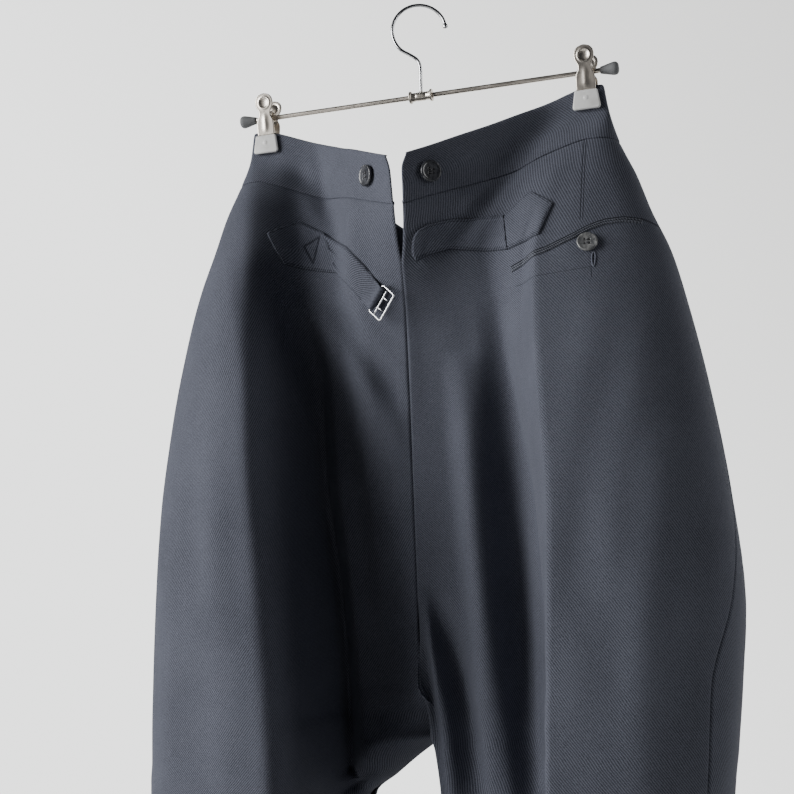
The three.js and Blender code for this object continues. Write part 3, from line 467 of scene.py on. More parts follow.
def mesh_of(name, verts, faces, weave, finish, node, body="root"):
    """A mesh from points in mm below the bar, its weave map in mm, and what it stands for."""
    mesh = bpy.data.meshes.new(name)
    verts = np.asarray(verts, float).reshape(-1, 3) / 1000 - np.array([0, 0, BAR_DROP / 1000])
    mesh.from_pydata(verts.tolist(), [], [tuple(int(i) for i in face) for face in faces])
    mesh.update()
    mesh.polygons.foreach_set("use_smooth", np.ones(len(mesh.polygons), bool))
    if weave is not None:
        corners = np.empty(len(mesh.loops), np.int32)
        mesh.loops.foreach_get("vertex_index", corners)
        layer = mesh.uv_layers.new(name="weave")
        layer.data.foreach_set("uv", (np.asarray(weave, float).reshape(-1, 2) / 1000)[corners].ravel())
    mesh.materials.append(finish)
    piece = bpy.data.objects.new(name, mesh)
    bpy.context.scene.collection.objects.link(piece)
    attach(piece, body)
    if node:
        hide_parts(node)
    return piece


def slab_of(name, grid, inner, weave, finish, node):
    """A closed piece between a grid of outer and one of inner points."""
    rows, cols = grid.shape[:2]
    i, j = np.meshgrid(np.arange(rows - 1), np.arange(cols - 1), indexing="ij")
    at = i * cols + j
    quads = np.stack([at, at + 1, at + cols + 1, at + cols], -1).reshape(-1, 4)
    layer = rows * cols
    ring = np.concatenate([
        np.arange(cols), np.arange(1, rows) * cols + cols - 1,
        (rows - 1) * cols + np.arange(cols - 2, -1, -1), np.arange(rows - 2, 0, -1) * cols])
    rim = np.stack([ring, ring + layer, np.roll(ring, -1) + layer, np.roll(ring, -1)], -1)
    faces = np.concatenate([quads, quads[:, ::-1] + layer, rim])
    verts = np.concatenate([grid.reshape(-1, 3), inner.reshape(-1, 3)])
    middle = rows // 2, cols // 2
    edge = grid[middle[0], middle[1] + 1] - grid[middle]
    fall = grid[middle[0] + 1, middle[1]] - grid[middle]
    if np.dot(np.cross(edge, fall), grid[middle] - inner[middle]) < 0:
        faces = faces[:, ::-1]
    if weave is not None:
        weave = np.concatenate([weave.reshape(-1, 2)] * 2)
    return mesh_of(name, verts, faces, weave, finish, node)


def sheet_of(name, grid, weave, wall, finish, node):
    """Cloth on a grid of its outer points, a wall thick towards the inside."""
    return slab_of(name, grid, grid - outward(grid) * wall, weave, finish, node)


def area_of(grid):
    """The area of a grid in square metres."""
    a, b = grid[1:, :-1] - grid[:-1, :-1], grid[:-1, 1:] - grid[:-1, :-1]
    return float(np.linalg.norm(np.cross(a, b), axis=2).sum()) / 1e6


# Four panels, joined at the centre seams, the side seams and the inseams. The dart that shapes
# the right side runs on under the pocket, and the edges of every panel turn in at its seams.
levels = np.concatenate([
    [BAND_FOOT + 3, BAND_FOOT, BAND_FOOT - 1.2, -67.5], np.arange(-71, -495, -3.6),
    np.arange(-496, -606, -2.2), np.arange(-607, -760, -4.5), np.arange(-762, -1105, -7.0),
    [-1108, -1111.5, HEM]])
PANEL_WALL, PANEL_LONG = 1.1, 1.05
SEAM_SINK, TOP_SINK = (1.1, 0.75, 0.25), (1.3, 1.2, 0.4, 0.05)
PANEL_COUNTS = {"back": (2, 3, 18, 46, 34, 3, 2), "front": (2, 3, 30, 20, 10, 3, 2)}
# Grooves on the right back panel, each from (x, z) to (x, z) with a width in mm: sunk in the bump and
# darkened with painted shade.
DART = [((-143.4, -66), (-143, -100.9), 0.6), ((-143, -100.9), (-142.2, -137.9), 0.6),
        ((-145.4, -66), (-145, -100.9), 0.5), ((-145, -100.9), (-144.2, -137.9), 0.5),
        ((-150.9, -181), (-151.4, -188), 0.5)]
POCKET_STITCH = [((-88.3, -185.1), (-153.9, -179.1), 0.35), ((-187, -138.6), (-200, -142.6), 1.3),
                 ((-200, -142.6), (-212, -151), 1.3)]
for half, side in (("L", "left"), ("R", "right")):
    for face, counts in PANEL_COUNTS.items():
        grid, weave = cloth_grid(half, levels, face, counts)
        sink = np.zeros(grid.shape[:2])
        for i, depth in enumerate(SEAM_SINK):
            sink[:, [i, -1 - i]] = depth
        for i, depth in enumerate(TOP_SINK):
            sink[i] = np.maximum(sink[i], depth)
        grid = grid - outward(grid) * sink[..., None]
        lines = DART + POCKET_STITCH if (half, face) == ("R", "back") else ()
        wool = twill(f"wool_{face}_{side}", WOOL_DARK, WOOL_LIGHT, lines)
        panel = sheet_of(f"{face}_panel_{side}", grid, weave, PANEL_WALL, wool, f"{face}_{side}")
        round(area_of(grid), 4)

# Waistband: two layers of the wool over an interlining, turned over at the top and split at
# centre back into two points.
BAND_WALL, BAND_DEEP, BAND_COUNTS = 2.2, 0.055, (2, 60, 12, 12, 44, 2)
band_levels = np.concatenate([
    [-13, -13.6, -15, -17], np.arange(-20, -57, -4), [-59.5, -62.2, -63.3, BAND_FOOT]])
for half, side in (("L", "left"), ("R", "right")):
    grid, weave = cloth_grid(half, band_levels, "band", BAND_COUNTS)
    sink = np.zeros(grid.shape[:2])
    sink[:3] = np.array([[0.9], [0.35], [0.08]])
    sink[-2:] = np.array([[0.2], [0.7]])
    sink[:, :2] = np.maximum(sink[:, :2], (0.8, 0.2))
    grid = grid - outward(grid) * sink[..., None]
    band = sheet_of(f"waistband_cloth_{side}", grid, weave, BAND_WALL,
                    twill(f"wool_band_{side}", WOOL_DARK, WOOL_LIGHT), f"waistband_{side}")
    round(area_of(grid), 4)


# Cinch patches: each side of the back carries a pointed patch of the wool, turned in at its edges
# and sewn 2 mm inside them. The left one is also held by a stitched triangle.
SHIFT_ROUNDS = 16


def lay(half, x, z, face="back"):
    """Points of a half's face at places across and heights, in mm, as the panels hang."""
    sign = 1 if half == "L" else -1
    if face == "front":
        return np.stack([x, face_depth(half, face, sign * x, z), z], -1)
    place = sign * x
    for _ in range(SHIFT_ROUNDS):
        place = sign * (x - hollow(half, place, z) * HOLLOW_WAY[0])
    y = face_depth(half, face, place, z) + hollow(half, place, z) * HOLLOW_WAY[1]
    return np.stack([x, y, z], -1)


def under_cloth(half, flat, face="back"):
    """The panel's surface under a flat grid of (x, z), and its unit normals out of the garment."""
    ground = lay(half, flat[..., 0], flat[..., 1], face)
    normal = normals_of(ground)
    return ground, normal * np.sign(np.median(normal[..., 1]) * (1 if face == "back" else -1))


def raised(ground, out, height):
    """Points off the panel's surface, each by its own height."""
    return ground + out * height[..., None]


def even(points, count):
    """A line of evenly spaced points along another line."""
    points = np.array(points, float)
    run = run_of(points)
    at = np.linspace(0, run[-1], count)
    return np.stack([np.interp(at, run, points[:, k]) for k in range(points.shape[1])], -1)


def between(upper, lower, steps, across_count):
    """A flat grid of (x, z) between two edges, its distance from each of them, and the run along it."""
    top, foot = even(upper, steps), even(lower, steps)
    share = np.linspace(0, 1, across_count)[:, None]
    flat = top[None] * (1 - share[..., None]) + foot[None] * share[..., None]
    width = np.linalg.norm(top - foot, axis=1)[None]
    run = run_of((top + foot) / 2)[None]
    return flat, share * width, (1 - share) * width, np.broadcast_to(run, flat.shape[:2])


STITCH_IN, STITCH_PITCH, STITCH_HALF = 2.2, 2.6, 0.45


def stitch_at(distance, run, at=STITCH_IN):
    """A sewn line at a distance from an edge: 1 in the middle of each of its stitches. Where it darkens
    the cloth, that is partly the thread and partly painted shade in its groove.
    """
    line = np.exp(-((distance - at) / STITCH_HALF) ** 2)
    return line * (0.55 + 0.45 * np.sign(np.sin(run / STITCH_PITCH * 2 * np.pi) + 0.45))


def edge_sewn_shadowed(top_gap, foot_gap, run, gap, fade=1):
    """The sewn lines inside the upper and lower edge, and a painted shadow line where an edge turns in.
    """
    lines = np.maximum(stitch_at(top_gap, run), stitch_at(foot_gap, run)) * fade
    return np.maximum(lines, 1.3 * np.exp(-(gap / 0.8) ** 2))


def edge_height(distance, full=1.35, round_over=1.6):
    """The height of folded cloth, rounded over at its edge."""
    k = np.clip(distance / round_over, 0, 1)
    return full * np.sqrt(1 - (1 - k) ** 2)


def worked(name, outer, inner, weave, stitch_and_shade, finish, node):
    """A sewn piece of cloth: its outer and inner points, its weave, and how dark it is at each point
    along its stitches and painted shadow lines."""
    piece = slab_of(name, outer, inner, np.stack(weave, -1), finish, node)
    # The darkness stored on the points: stitches, partly thread and partly painted shade, and painted
    # shadow lines.
    layer = piece.data.attributes.new("stitch_and_shade", "FLOAT", "POINT")
    layer.data.foreach_set("value", np.concatenate([stitch_and_shade.ravel()] * 2).astype(np.float32))
    round(area_of(inner), 6)


# The wool of the sewn pieces, darkened by their point attribute with stitches and painted shade.
sewn_shaded_wool = twill("wool_sewn_and_shaded", WOOL_DARK, WOOL_LIGHT, stitched=True)
PATCH = {
    "L": (((87.6, -114.5), (111, -102), (131.1, -115.5)), ((72.9, -153), (119.6, -143), (130.6, -118))),
    "R": (((-78.9, -123.5), (-101, -107.5), (-120.5, -121.5)),
          ((-82.4, -154.5), (-110, -148.5), (-119.8, -123.8))),
}
TRIANGLE = ((90.7, -118), (104.3, -126), (97.5, -141.5))
for half, side in (("L", "left"), ("R", "right")):
    flat, top_gap, foot_gap, run = between(*PATCH[half], 72, 56)
    ground, out = under_cloth(half, flat)
    left_over = run.max() - run
    gap = np.minimum(np.minimum(top_gap, foot_gap), left_over + 0.4)
    # Painted shadow along the patch's turned edges and its point, with its sewn lines.
    stitch_and_shade = edge_sewn_shadowed(top_gap, foot_gap, run, gap, np.clip(left_over / 3, 0, 1))
    if half == "L":
        corners = np.array(TRIANGLE + TRIANGLE[:1])
        for start, end in zip(corners, corners[1:]):
            long = np.linalg.norm(end - start)
            way = (end - start) / long
            along = (flat - start) @ way
            beside = (flat - start) @ np.array([-way[1], way[0]])
            # The triangle's sewn line, continuous, darkens the cloth: partly its thread, partly painted
            # shade in its groove.
            sewn = 1.4 * np.exp(-(beside / 0.7) ** 2)
            stitch_and_shade = np.maximum(stitch_and_shade, np.where((along > 0) & (along < long), sewn, 0))
    puff = 0.25 * np.sin(flat[..., 0] / 5.1 + 1) * np.sin(flat[..., 1] / 6.3)
    height = 0.35 + edge_height(gap) + np.clip(gap / 4, 0, 1) * puff - 0.45 * stitch_and_shade
    worked(f"cinch_patch_{side}", raised(ground, out, height), ground + out * 0.12,
           (run, flat[..., 1]), stitch_and_shade, sewn_shaded_wool, f"patch_{side}")

# Right strap: a folded strip of the wool, sewn along both edges and gathered under its patch. It
# tapers to a free end that is turned under and stands a little off the cloth.
STRAP_ACROSS, RIGHT_STRAP_SIZE = 44, (0.036, 0.085)
flat, top_gap, foot_gap, run = between(
    ((-78.3, -124), (-57.9, -124), (-36.8, -125.5), (-21.5, -129.5), (-8.6, -134)),
    ((-81.8, -154.3), (-59.1, -152.5), (-34.3, -150), (-17, -154), (-3.4, -159)), 96, STRAP_ACROSS)
share = run / run.max()
flat[..., 0] -= 5 * np.abs(np.linspace(-1, 1, STRAP_ACROSS))[:, None] ** 3 * share ** 8
ground, out = under_cloth("R", flat)
left_over = run.max() - run
gap = np.minimum(np.minimum(top_gap, foot_gap), left_over * 0.8 + 0.25)
# Painted shadow along the strap's turned edges and its free end, with its sewn lines.
stitch_and_shade = edge_sewn_shadowed(top_gap, foot_gap, run, gap, np.clip((left_over - 1) / 2, 0, 1))
pleat = np.clip(np.sin(top_gap / 31 * 2 * np.pi * 3.1 + 0.6), 0, 1) * np.exp(-run / 9)
hem_step = np.clip(gap / 1.5, 0, 1) / (1 + np.exp((left_over - 9) / 0.8))
lift = 0.3 + 2.4 * share ** 2.4 + 0.5 * np.sin(share * 7 + top_gap / 9) * share * (1 - share) * 2
height = lift + edge_height(gap, 1.5) + 0.9 * pleat + 0.8 * hem_step - 0.4 * stitch_and_shade
worked("cinch_strap_right", raised(ground, out, height),
       raised(ground, out, np.maximum(lift - 0.2, 0.1)), (run, flat[..., 1]), stitch_and_shade, sewn_shaded_wool,
       "strap_right")


# Left strap: sewn under its patch with two small pleats, it stands off towards the buckle, goes
# round the buckle's hinge bar, and is sewn to its own back.
def below_bar(points):
    """The frame's metres as mm from the middle of the bar."""
    return np.array(points) * 1000 + np.array([0, 0, BAR_DROP])


hinge_joint = next(j for j in frame["record"]["behaviour"]["joints"] if j["name"] == "buckle_hinge")
HINGE = below_bar(hinge_joint["pos_m"])
BAR_WAY = np.array(hinge_joint["axis"])
HANGS = np.array([0, 0, -1.0]) + BAR_WAY * BAR_WAY[2]
HANGS /= np.linalg.norm(HANGS)
FACES = np.cross(BAR_WAY, HANGS)
LOOP_HALF, LOOP_OUTER, LOOP_INNER = 10.4, 2.55, 1.45
STEPS_KEPT, BRIDGE_STEPS, LEFT_STRAP_WIDE, LEFT_STRAP_HEM = 66, 12, 0.042, 0.004
loop_ends = [HINGE + BAR_WAY * reach - HANGS * 2 for reach in (-LOOP_HALF, LOOP_HALF)]
flat, top_gap, foot_gap, run = between(
    ((88.5, -114.6), (58.5, -135), (38.7, -156), (loop_ends[0][0], loop_ends[0][2])),
    ((74, -153.6), (52.8, -174.5), (45.5, -184), (loop_ends[1][0], loop_ends[1][2])), 84,
    STRAP_ACROSS)
ground, out = under_cloth("L", flat)
share = run / run.max()
gap = np.minimum(top_gap, foot_gap)
# Painted shadow along the strap's turned edges, with its sewn lines.
stitch_and_shade = edge_sewn_shadowed(top_gap, foot_gap, run, gap)
pleat = np.clip(np.sin(top_gap / 38 * 2 * np.pi * 2.6 + 0.2), 0, 1) * np.exp(-run / 11)
height = 0.3 + edge_height(gap, 1.4) + 1.5 * pleat + 1.2 * share ** 2 - 0.4 * stitch_and_shade
centres = HINGE + BAR_WAY * np.linspace(-LOOP_HALF, LOOP_HALF, STRAP_ACROSS)[:, None]
round_it = np.radians(np.linspace(-35, 180, 22))[None, :, None]
ring_way = FACES * np.cos(round_it) + HANGS * np.sin(round_it)
tail = np.linspace(1.2, 9, 9)[None, :, None]


def on_loop(radius):
    """The strap's ring round the bar and its tail, at a radius from the bar's middle."""
    ring = centres[:, None] + ring_way * radius
    back = centres[:, None] - FACES * radius - HANGS * tail
    return np.concatenate([ring, back], 1)


def bridged(first, radius):
    """The strap's own line, then a smooth way to the ring round the bar, then the ring and its tail."""
    ring = on_loop(radius)
    first = first[:, :STEPS_KEPT]
    start, end = first[:, -1], ring[:, 0]
    slope = (first[:, -1] - first[:, -5]) / 4 * BRIDGE_STEPS * 1.1
    arrive = (ring[:, 1] - ring[:, 0]) / np.linalg.norm(ring[:, 1] - ring[:, 0], axis=1, keepdims=True)
    arrive = arrive * np.linalg.norm(end - start, axis=1, keepdims=True)
    t = np.linspace(0, 1, BRIDGE_STEPS + 1)[None, 1:, None]
    h1, h2, h3, h4 = 2 * t**3 - 3 * t**2 + 1, t**3 - 2 * t**2 + t, 3 * t**2 - 2 * t**3, t**3 - t**2
    way = start[:, None] * h1 + slope[:, None] * h2 + end[:, None] * h3 + arrive[:, None] * h4
    return np.concatenate([first, way, ring[:, 1:]], 1)


outer = bridged(raised(ground, out, height), LOOP_OUTER)
inner = bridged(raised(ground, out, 0.1 + 1.2 * share ** 2), LOOP_INNER)
stitch_and_shade = np.pad(stitch_and_shade[:, :STEPS_KEPT], ((0, 0), (0, outer.shape[1] - STEPS_KEPT)))
middle_run = run_of(outer[STRAP_ACROSS // 2])
weave = [np.broadcast_to(values, outer.shape[:2]) for values in (middle_run, top_gap[:, :1])]
worked("cinch_strap_left", outer, inner, weave, stitch_and_shade, sewn_shaded_wool, "strap_left")


# Buckle: an oblong frame of plated steel wire, bent round and closed, that hangs by its bar in the
# strap's loop. A second bar across it carries two pointed prongs.
def tube(name, path, radius, finish, node, body="root", sides=16, closed=False):
    """A round rod along a path in mm; the radius is one number or one for each point."""
    count = len(path)
    ways = np.roll(path, -1, 0) - np.roll(path, 1, 0)
    if not closed:
        ways[0], ways[-1] = path[1] - path[0], path[-1] - path[-2]
    ways /= np.linalg.norm(ways, axis=1, keepdims=True)
    angles = np.linspace(0, 2 * np.pi, sides, endpoint=False)[:, None]
    side = np.cross(ways[0], (0.3, 0.5, 0.81))
    rings = []
    for point, thick, way in zip(path, np.broadcast_to(radius, count), ways):
        side = side - way * (side @ way)
        side = side / np.linalg.norm(side)
        rings.append(point + thick * (np.cos(angles) * side + np.sin(angles) * np.cross(way, side)))
    verts = np.concatenate(rings)
    round_once = [(k, (k + 1) % sides) for k in range(sides)]
    faces = []
    for i in range(count if closed else count - 1):
        low, high = i * sides, (i + 1) % count * sides
        faces += [(low + k, low + after, high + after, high + k) for k, after in round_once]
    if not closed:
        verts = np.concatenate([verts, path[:1], path[-1:]])
        first, last, high = count * sides, count * sides + 1, (count - 1) * sides
        faces += [(k, first, after) for k, after in round_once]
        faces += [(high + after, last, high + k) for k, after in round_once]
    mesh_of(name, verts, faces, None, finish, node, body)


def plated(name, tint, dull, rough, scratch):
    """Bright plating with fine rubbed marks and a duller bloom in patches."""
    finish = Finish(name)
    place = finish.place()
    bloom = finish.noise(place, 60.0, 4.0, 0.6)
    marks = finish.noise(place, 900.0, 2.0, 0.7)
    mask = bloom.smooth(0.42, 0.7)
    return finish.surface(
        Metallic=1.0, Base_Color=finish.blend(mask * 0.7 + marks * 0.15, tint, dull),
        Roughness=mask * 0.14 + marks * scratch + rough,
        Normal=finish.bump(marks + bloom * 0.5, 0.00003, 0.5))


chrome = plated("chrome_plate", (0.80, 0.81, 0.83), (0.55, 0.55, 0.56), 0.18, 0.10)
FRAME_HALF, FRAME_DEPTH, CORNER, FRAME_BOW, FRAME_WIRE = 12.4, 16.0, 2.0, 0.5, 0.9
wire = []
for across_way, middle, start in ((1, FRAME_DEPTH - CORNER, 0), (-1, FRAME_DEPTH - CORNER, 90),
                                  (-1, CORNER, 180), (1, CORNER, 270)):
    angle = np.radians(np.linspace(0, 90, 7)) + math.radians(start)
    wire.append(np.c_[across_way * (FRAME_HALF - CORNER) + CORNER * np.cos(angle),
                      middle + CORNER * np.sin(angle)])
wire = np.concatenate(wire)


def in_buckle(along_bar, hanging, facing):
    """Points of the buckle, from its hinge: along its bar, down it and out of its face."""
    points = np.array(np.broadcast_arrays(along_bar, hanging, facing))[..., None]
    return HINGE + points[0] * BAR_WAY + points[1] * HANGS + points[2] * FACES


bow = FRAME_BOW * (wire[:, 1] / FRAME_DEPTH) ** 2
tube("buckle_wire", in_buckle(*wire.T, bow), FRAME_WIRE, chrome, "buckle_frame", "buckle",
     closed=True)
PRONG_BAR, PRONG_LONG, PRONG_AT, PRONG_FACE, BAR_END = 6.4, 6.0, 4.8, 0.1, 1.1
bar_line = np.linspace(BAR_END - FRAME_HALF, FRAME_HALF - BAR_END, 12)
tube("buckle_prong_bar", in_buckle(bar_line, PRONG_BAR, PRONG_FACE), 0.78, chrome,
     "buckle_prongs", "buckle")
for side, at in (("upper", -PRONG_AT), ("lower", PRONG_AT)):
    t = np.linspace(0, 1, 10)
    prong = in_buckle(at, PRONG_BAR + 0.2 + t * PRONG_LONG, PRONG_FACE + 0.5 * np.sin(t * np.pi))
    tube(f"buckle_prong_{side}", prong, 0.72 - 0.42 * t**1.6, chrome, None, "buckle", 12)

# Hip pocket on the right: a slit with two narrow piped edges under it, closed by one button and
# a worked buttonhole.
WELT = ((-83.7, -168.3), (-98.7, -163.5), (-114.5, -158.9), (-126, -154), (-137.5, -149), (-149, -142.8),
        (-160, -138.9), (-174.5, -137.2), (-187.6, -138.2))
WELT_DEEP, WELT_ROLLS, WELT_ROLL, PIPING_SIZE = 5.2, (2.3, 4.1), 0.95, (0.012, 0.112)
flat, top_gap, foot_gap, run = between(WELT, [(x, z - WELT_DEEP) for x, z in WELT], 150, 22)
ground, out = under_cloth("R", flat)
roll = [np.sqrt(np.clip(1 - ((top_gap - at) / WELT_ROLL) ** 2, 0, 1)) for at in WELT_ROLLS]
# A sewn line between the rolls, and a painted shadow line in the slit above them; both darken the
# piping.
stitch_and_shade = np.exp(-((top_gap - 3.2) / 0.3) ** 2) + 1.6 * np.exp(-(top_gap / 1.35) ** 4)
ends = np.clip(np.minimum(run, run.max() - run) / 1.5, 0, 1)
height = (0.28 + 1.25 * np.maximum(*roll)) * (0.3 + 0.7 * ends) - 0.15 * stitch_and_shade.clip(0, 1)
height = np.maximum(height, 0.2)
# The piping's wool has a paler light colour than the panels', a painted highlight on its rolls, and a
# darker dark colour.
painted_light_piping = twill("wool_piping_painted_light", (0.010, 0.011, 0.015), (0.165, 0.175, 0.21), stitched=True)
worked("pocket_piping", raised(ground, out, height), ground + out * 0.05, (run, flat[..., 1]),
       stitch_and_shade, painted_light_piping, "pocket_welt")

HOLE_X, HOLE_Z, HOLE_HALF_WIDE, HOLE_HALF_LONG = -152.5, -173.2, 1.3, 6.0
turns = np.linspace(0, 2 * np.pi, 40, endpoint=False)
eyelet = HOLE_HALF_WIDE * np.cos(turns) * (1 + 0.25 * np.sin(turns))
ring = lay("R", HOLE_X + eyelet, HOLE_Z + HOLE_HALF_LONG * np.sin(turns))
ring[:, 1] += 0.35 + 0.12 * np.sin(np.arange(40) * 2.4)
tube("buttonhole_thread", ring, 0.5, sewn_shaded_wool, None, "root", 8, True)

# Fly: a placket of the wool down the front of the left half, folded at its free edge and sewn down
# in a J by two rows of stitches. It lies on the panel.
FLY_ROWS, FLY_SIZE = (3.0, 6.2), (0.038, 0.262)
flat, top_gap, foot_gap, run = between(
    ((2, -170), (2, -300), (2, -408)), ((38, -146), (38, -300), (16, -408)), 150, 32)
ground, out = under_cloth("L", flat, "front")
gap = np.minimum(np.minimum(top_gap, foot_gap), run.max() - run + 0.3)
# The two sewn rows darken the cloth: partly their thread, partly painted shade in their grooves.
near, far = (stitch_at(foot_gap, run, row) for row in FLY_ROWS)
stitch_and_shade = np.maximum(near, far * 0.5)
height = 0.3 + edge_height(gap, 1.3, 1.4) - 0.4 * stitch_and_shade
worked("fly_placket", raised(ground, out, height), ground + out * 0.1, (flat[..., 0], run), stitch_and_shade,
       sewn_shaded_wool, "fly")


# Buttons: dished discs of horn-like resin with a rolled rim and four holes, sewn on with thread
# through them and a wound stalk behind. The pocket's button is a paler, streaked resin.
def resin(name, dark, light, streak):
    """Polished resin with clouds, and veins that show more for a higher streak."""
    finish = Finish(name)
    place = finish.place()
    cloud = finish.noise(place, 160.0, 4.0, 0.6)
    vein = finish.noise(place, 420.0, 3.0, 0.7)
    tone = (cloud - 0.5) * 1.6 + (vein - 0.5) * streak + 0.45
    return finish.surface(Base_Color=finish.blend(tone.smooth(0.0, 1.0), dark, light),
                          Roughness=vein * 0.2 + 0.18, Coat_Weight=0.35, Coat_Roughness=0.12,
                          Normal=finish.bump(vein, 0.00004, 0.6))


thread = Finish("button_thread")
thread_twist = thread.noise(thread.place(), 1800.0, 2.0)
thread_grey = thread.surface(
    Base_Color=thread.blend(thread_twist, (0.03, 0.03, 0.035), (0.12, 0.12, 0.13)),
    Roughness=0.8, Normal=thread.bump(thread_twist, 0.0001))
horn = resin("horn", (0.018, 0.019, 0.023), (0.095, 0.098, 0.11), 0.5)
smoke_horn = resin("smoke_horn", (0.07, 0.073, 0.078), (0.29, 0.29, 0.285), 1.2)
BUTTON_RINGS, BUTTON_TURNS = 25, 72
BUTTON_TOP, BUTTON_FOOT, BUTTON_DISH, BUTTON_RIM = 1.0, -1.15, 0.21, 0.35
HOLE_AT, HOLE_RADIUS, HOLE_DEEP = 1.6, 0.85, 2.0


def plane_of(node):
    """The middle of a flat CAD node, in mm below the bar, and the direction it faces."""
    corners = below_bar([tuple(v.co) for v in frame["nodes"][node].data.vertices])
    middle = (corners.min(0) + corners.max(0)) / 2
    face = np.linalg.svd(corners - corners.mean(0), full_matrices=False)[2][2]
    return middle, face * (1 if face[1] * middle[1] > 0 else -1)


def rounded_off(k, start, width):
    """1 up to a share of the radius, then a quarter round down to 0."""
    return np.sqrt(np.clip(1 - np.clip((k - start) / width, 0, 1) ** 2, 0, 1))


def button(name, node, radius, finish):
    """A four-hole button in place of its node, its thread and its stalk."""
    middle, face = plane_of(node)
    level_way = np.cross(face, (0, 0, 1))
    level_way /= np.linalg.norm(level_way)
    rise = np.cross(level_way, face)
    k = np.linspace(0, 1, BUTTON_RINGS + 1)[1:, None]
    a = np.linspace(0, 2 * np.pi, BUTTON_TURNS, endpoint=False)[None]
    x, y = k * radius * np.cos(a), k * radius * np.sin(a)
    top = BUTTON_TOP + BUTTON_RIM * np.exp(-((k - 0.86) / 0.09) ** 2)
    top = (top - BUTTON_DISH * (1 - np.clip(k / 0.72, 0, 1) ** 2)) * rounded_off(k, 0.88, 0.125)
    for i in (-HOLE_AT, HOLE_AT):
        for j in (-HOLE_AT, HOLE_AT):
            inside = np.clip(1.25 - np.hypot(x - i, y - j) / HOLE_RADIUS, 0, 1)
            top = top - HOLE_DEEP * inside ** 0.6
    verts = [middle + x[..., None] * level_way + y[..., None] * rise + height[..., None] * face
             for height in (top, BUTTON_FOOT * rounded_off(k, 0.85, 0.155))]
    count, last = BUTTON_RINGS * BUTTON_TURNS, (BUTTON_RINGS - 1) * BUTTON_TURNS
    round_once = [(j, (j + 1) % BUTTON_TURNS) for j in range(BUTTON_TURNS)]
    upper = [(low + j, low + BUTTON_TURNS + j, low + BUTTON_TURNS + after, low + after)
             for low in range(0, last, BUTTON_TURNS) for j, after in round_once]
    upper.append(tuple(range(BUTTON_TURNS)))
    lower = [tuple(count + i for i in corners[::-1]) for corners in upper]
    edge = [(last + j, count + last + j, count + last + after, last + after) for j, after in round_once]
    mesh_of(name, verts, upper + lower + edge, None, finish, node)
    for part, j in (("upper", HOLE_AT), ("lower", -HOLE_AT)):
        t = np.linspace(-1, 1, 12)[:, None]
        path = middle + t * HOLE_AT * level_way + j * rise + (BUTTON_TOP - 1.1 * t ** 4) * face
        tube(f"{name}_thread_{part}", path, 0.5, thread_grey, None, "root", 8)
    stalk = middle + np.linspace(-0.9, -2.2, 4)[:, None] * face
    tube(f"{name}_stalk", stalk, [1.5, 1.3, 1.4, 1.7], thread_grey, None, "root", 12)


BRACE_RADIUS, POCKET_RADIUS = 9, 8.2
for at in ("back_left", "back_right"):
    button(f"brace_disc_{at}", f"brace_button_{at}", BRACE_RADIUS, horn)
button("pocket_disc", "pocket_button", POCKET_RADIUS, smoke_horn)
button("waist_disc", "waist_button", BRACE_RADIUS, horn)
for at in ("front_left_inner", "front_left_outer", "front_right_inner", "front_right_outer"):
    button(f"brace_disc_{at}", f"brace_button_{at}", BRACE_RADIUS, horn)


# Hanger: a nickelled steel bar with grey rubber tips pushed over its ends. Its chromed wire hook
# turns in a crimped collar at the middle of the bar, and ends in a small ball.
def lathe(name, profile, finish, node, flip=1):
    """A round piece about the bar: a profile of (radius, place along it), closed by its own ends."""
    turns, rings, verts, faces = 40, [], [], []
    for radius, place in profile:
        angles = np.linspace(0, 2 * np.pi, turns, endpoint=False) if radius else [0]
        rings.append(range(len(verts), len(verts) + len(angles)))
        verts += [(flip * place, radius * math.cos(a), radius * math.sin(a)) for a in angles]
    for low, high in zip(rings, rings[1:]):
        for k in range(turns):
            after = (k + 1) % turns
            corners = (low[k % len(low)], high[k % len(high)], high[after % len(high)],
                       low[after % len(low)])
            faces.append(tuple(dict.fromkeys(corners))[::flip])
    mesh_of(name, verts, faces, None, finish, node)


nickel = plated("nickel_plate", (0.80, 0.74, 0.66), (0.56, 0.51, 0.45), 0.27, 0.12)
bar_end = [(2.1, 159.0), (1.7, 159.6), (0, 159.6)]
bar_middle = [(2.1, x) for x in range(-150, 151, 10)]
lathe("bar_rod", [(r, -x) for r, x in bar_end[::-1]] + bar_middle + bar_end, nickel, "hanger_bar")
collar_half = [(2.35, 10), (5.2, 10), (5.35, 9.6), (5.35, 8.9), (5.0, 8.5), (4.1, 8.2), (3.8, 7.6),
               (3.75, 5.2), (3.45, 4.6), (3.75, 4.0), (3.8, 2.5)]
lathe("bar_collar", collar_half[:1] + [(r, -x) for r, x in collar_half] + [(3.85, 0)]
      + collar_half[::-1], nickel, "hanger_collar")
rubber = Finish("grey_rubber")
grain = rubber.noise(rubber.place(), 700.0, 3.0, 0.6)
dust = rubber.noise(rubber.place(), 90.0)
grey_rubber = rubber.surface(
    Base_Color=rubber.blend(grain * 0.4 + dust * 0.5, (0.10, 0.105, 0.11), (0.24, 0.245, 0.25)),
    Roughness=grain * 0.2 + 0.6, Normal=rubber.bump(grain, 0.00008))
TIP_PROFILE = [
    (0, 159.9), (2.2, 159.9), (2.3, 159.4), (2.35, 155.9), (2.7, 155.7), (3.0, 156.1), (3.5, 158.2),
    (4.1, 160.8), (4.8, 163.6), (5.3, 165.8), (5.5, 167), (5.5, 168.1), (5.2, 169.3), (4.5, 170.2),
    (3.3, 170.8), (1.8, 171), (0, 171)]
for side, flip in (("left", 1), ("right", -1)):
    lathe(f"rubber_cap_{side}", TIP_PROFILE, grey_rubber, f"hanger_tip_{side}", flip)

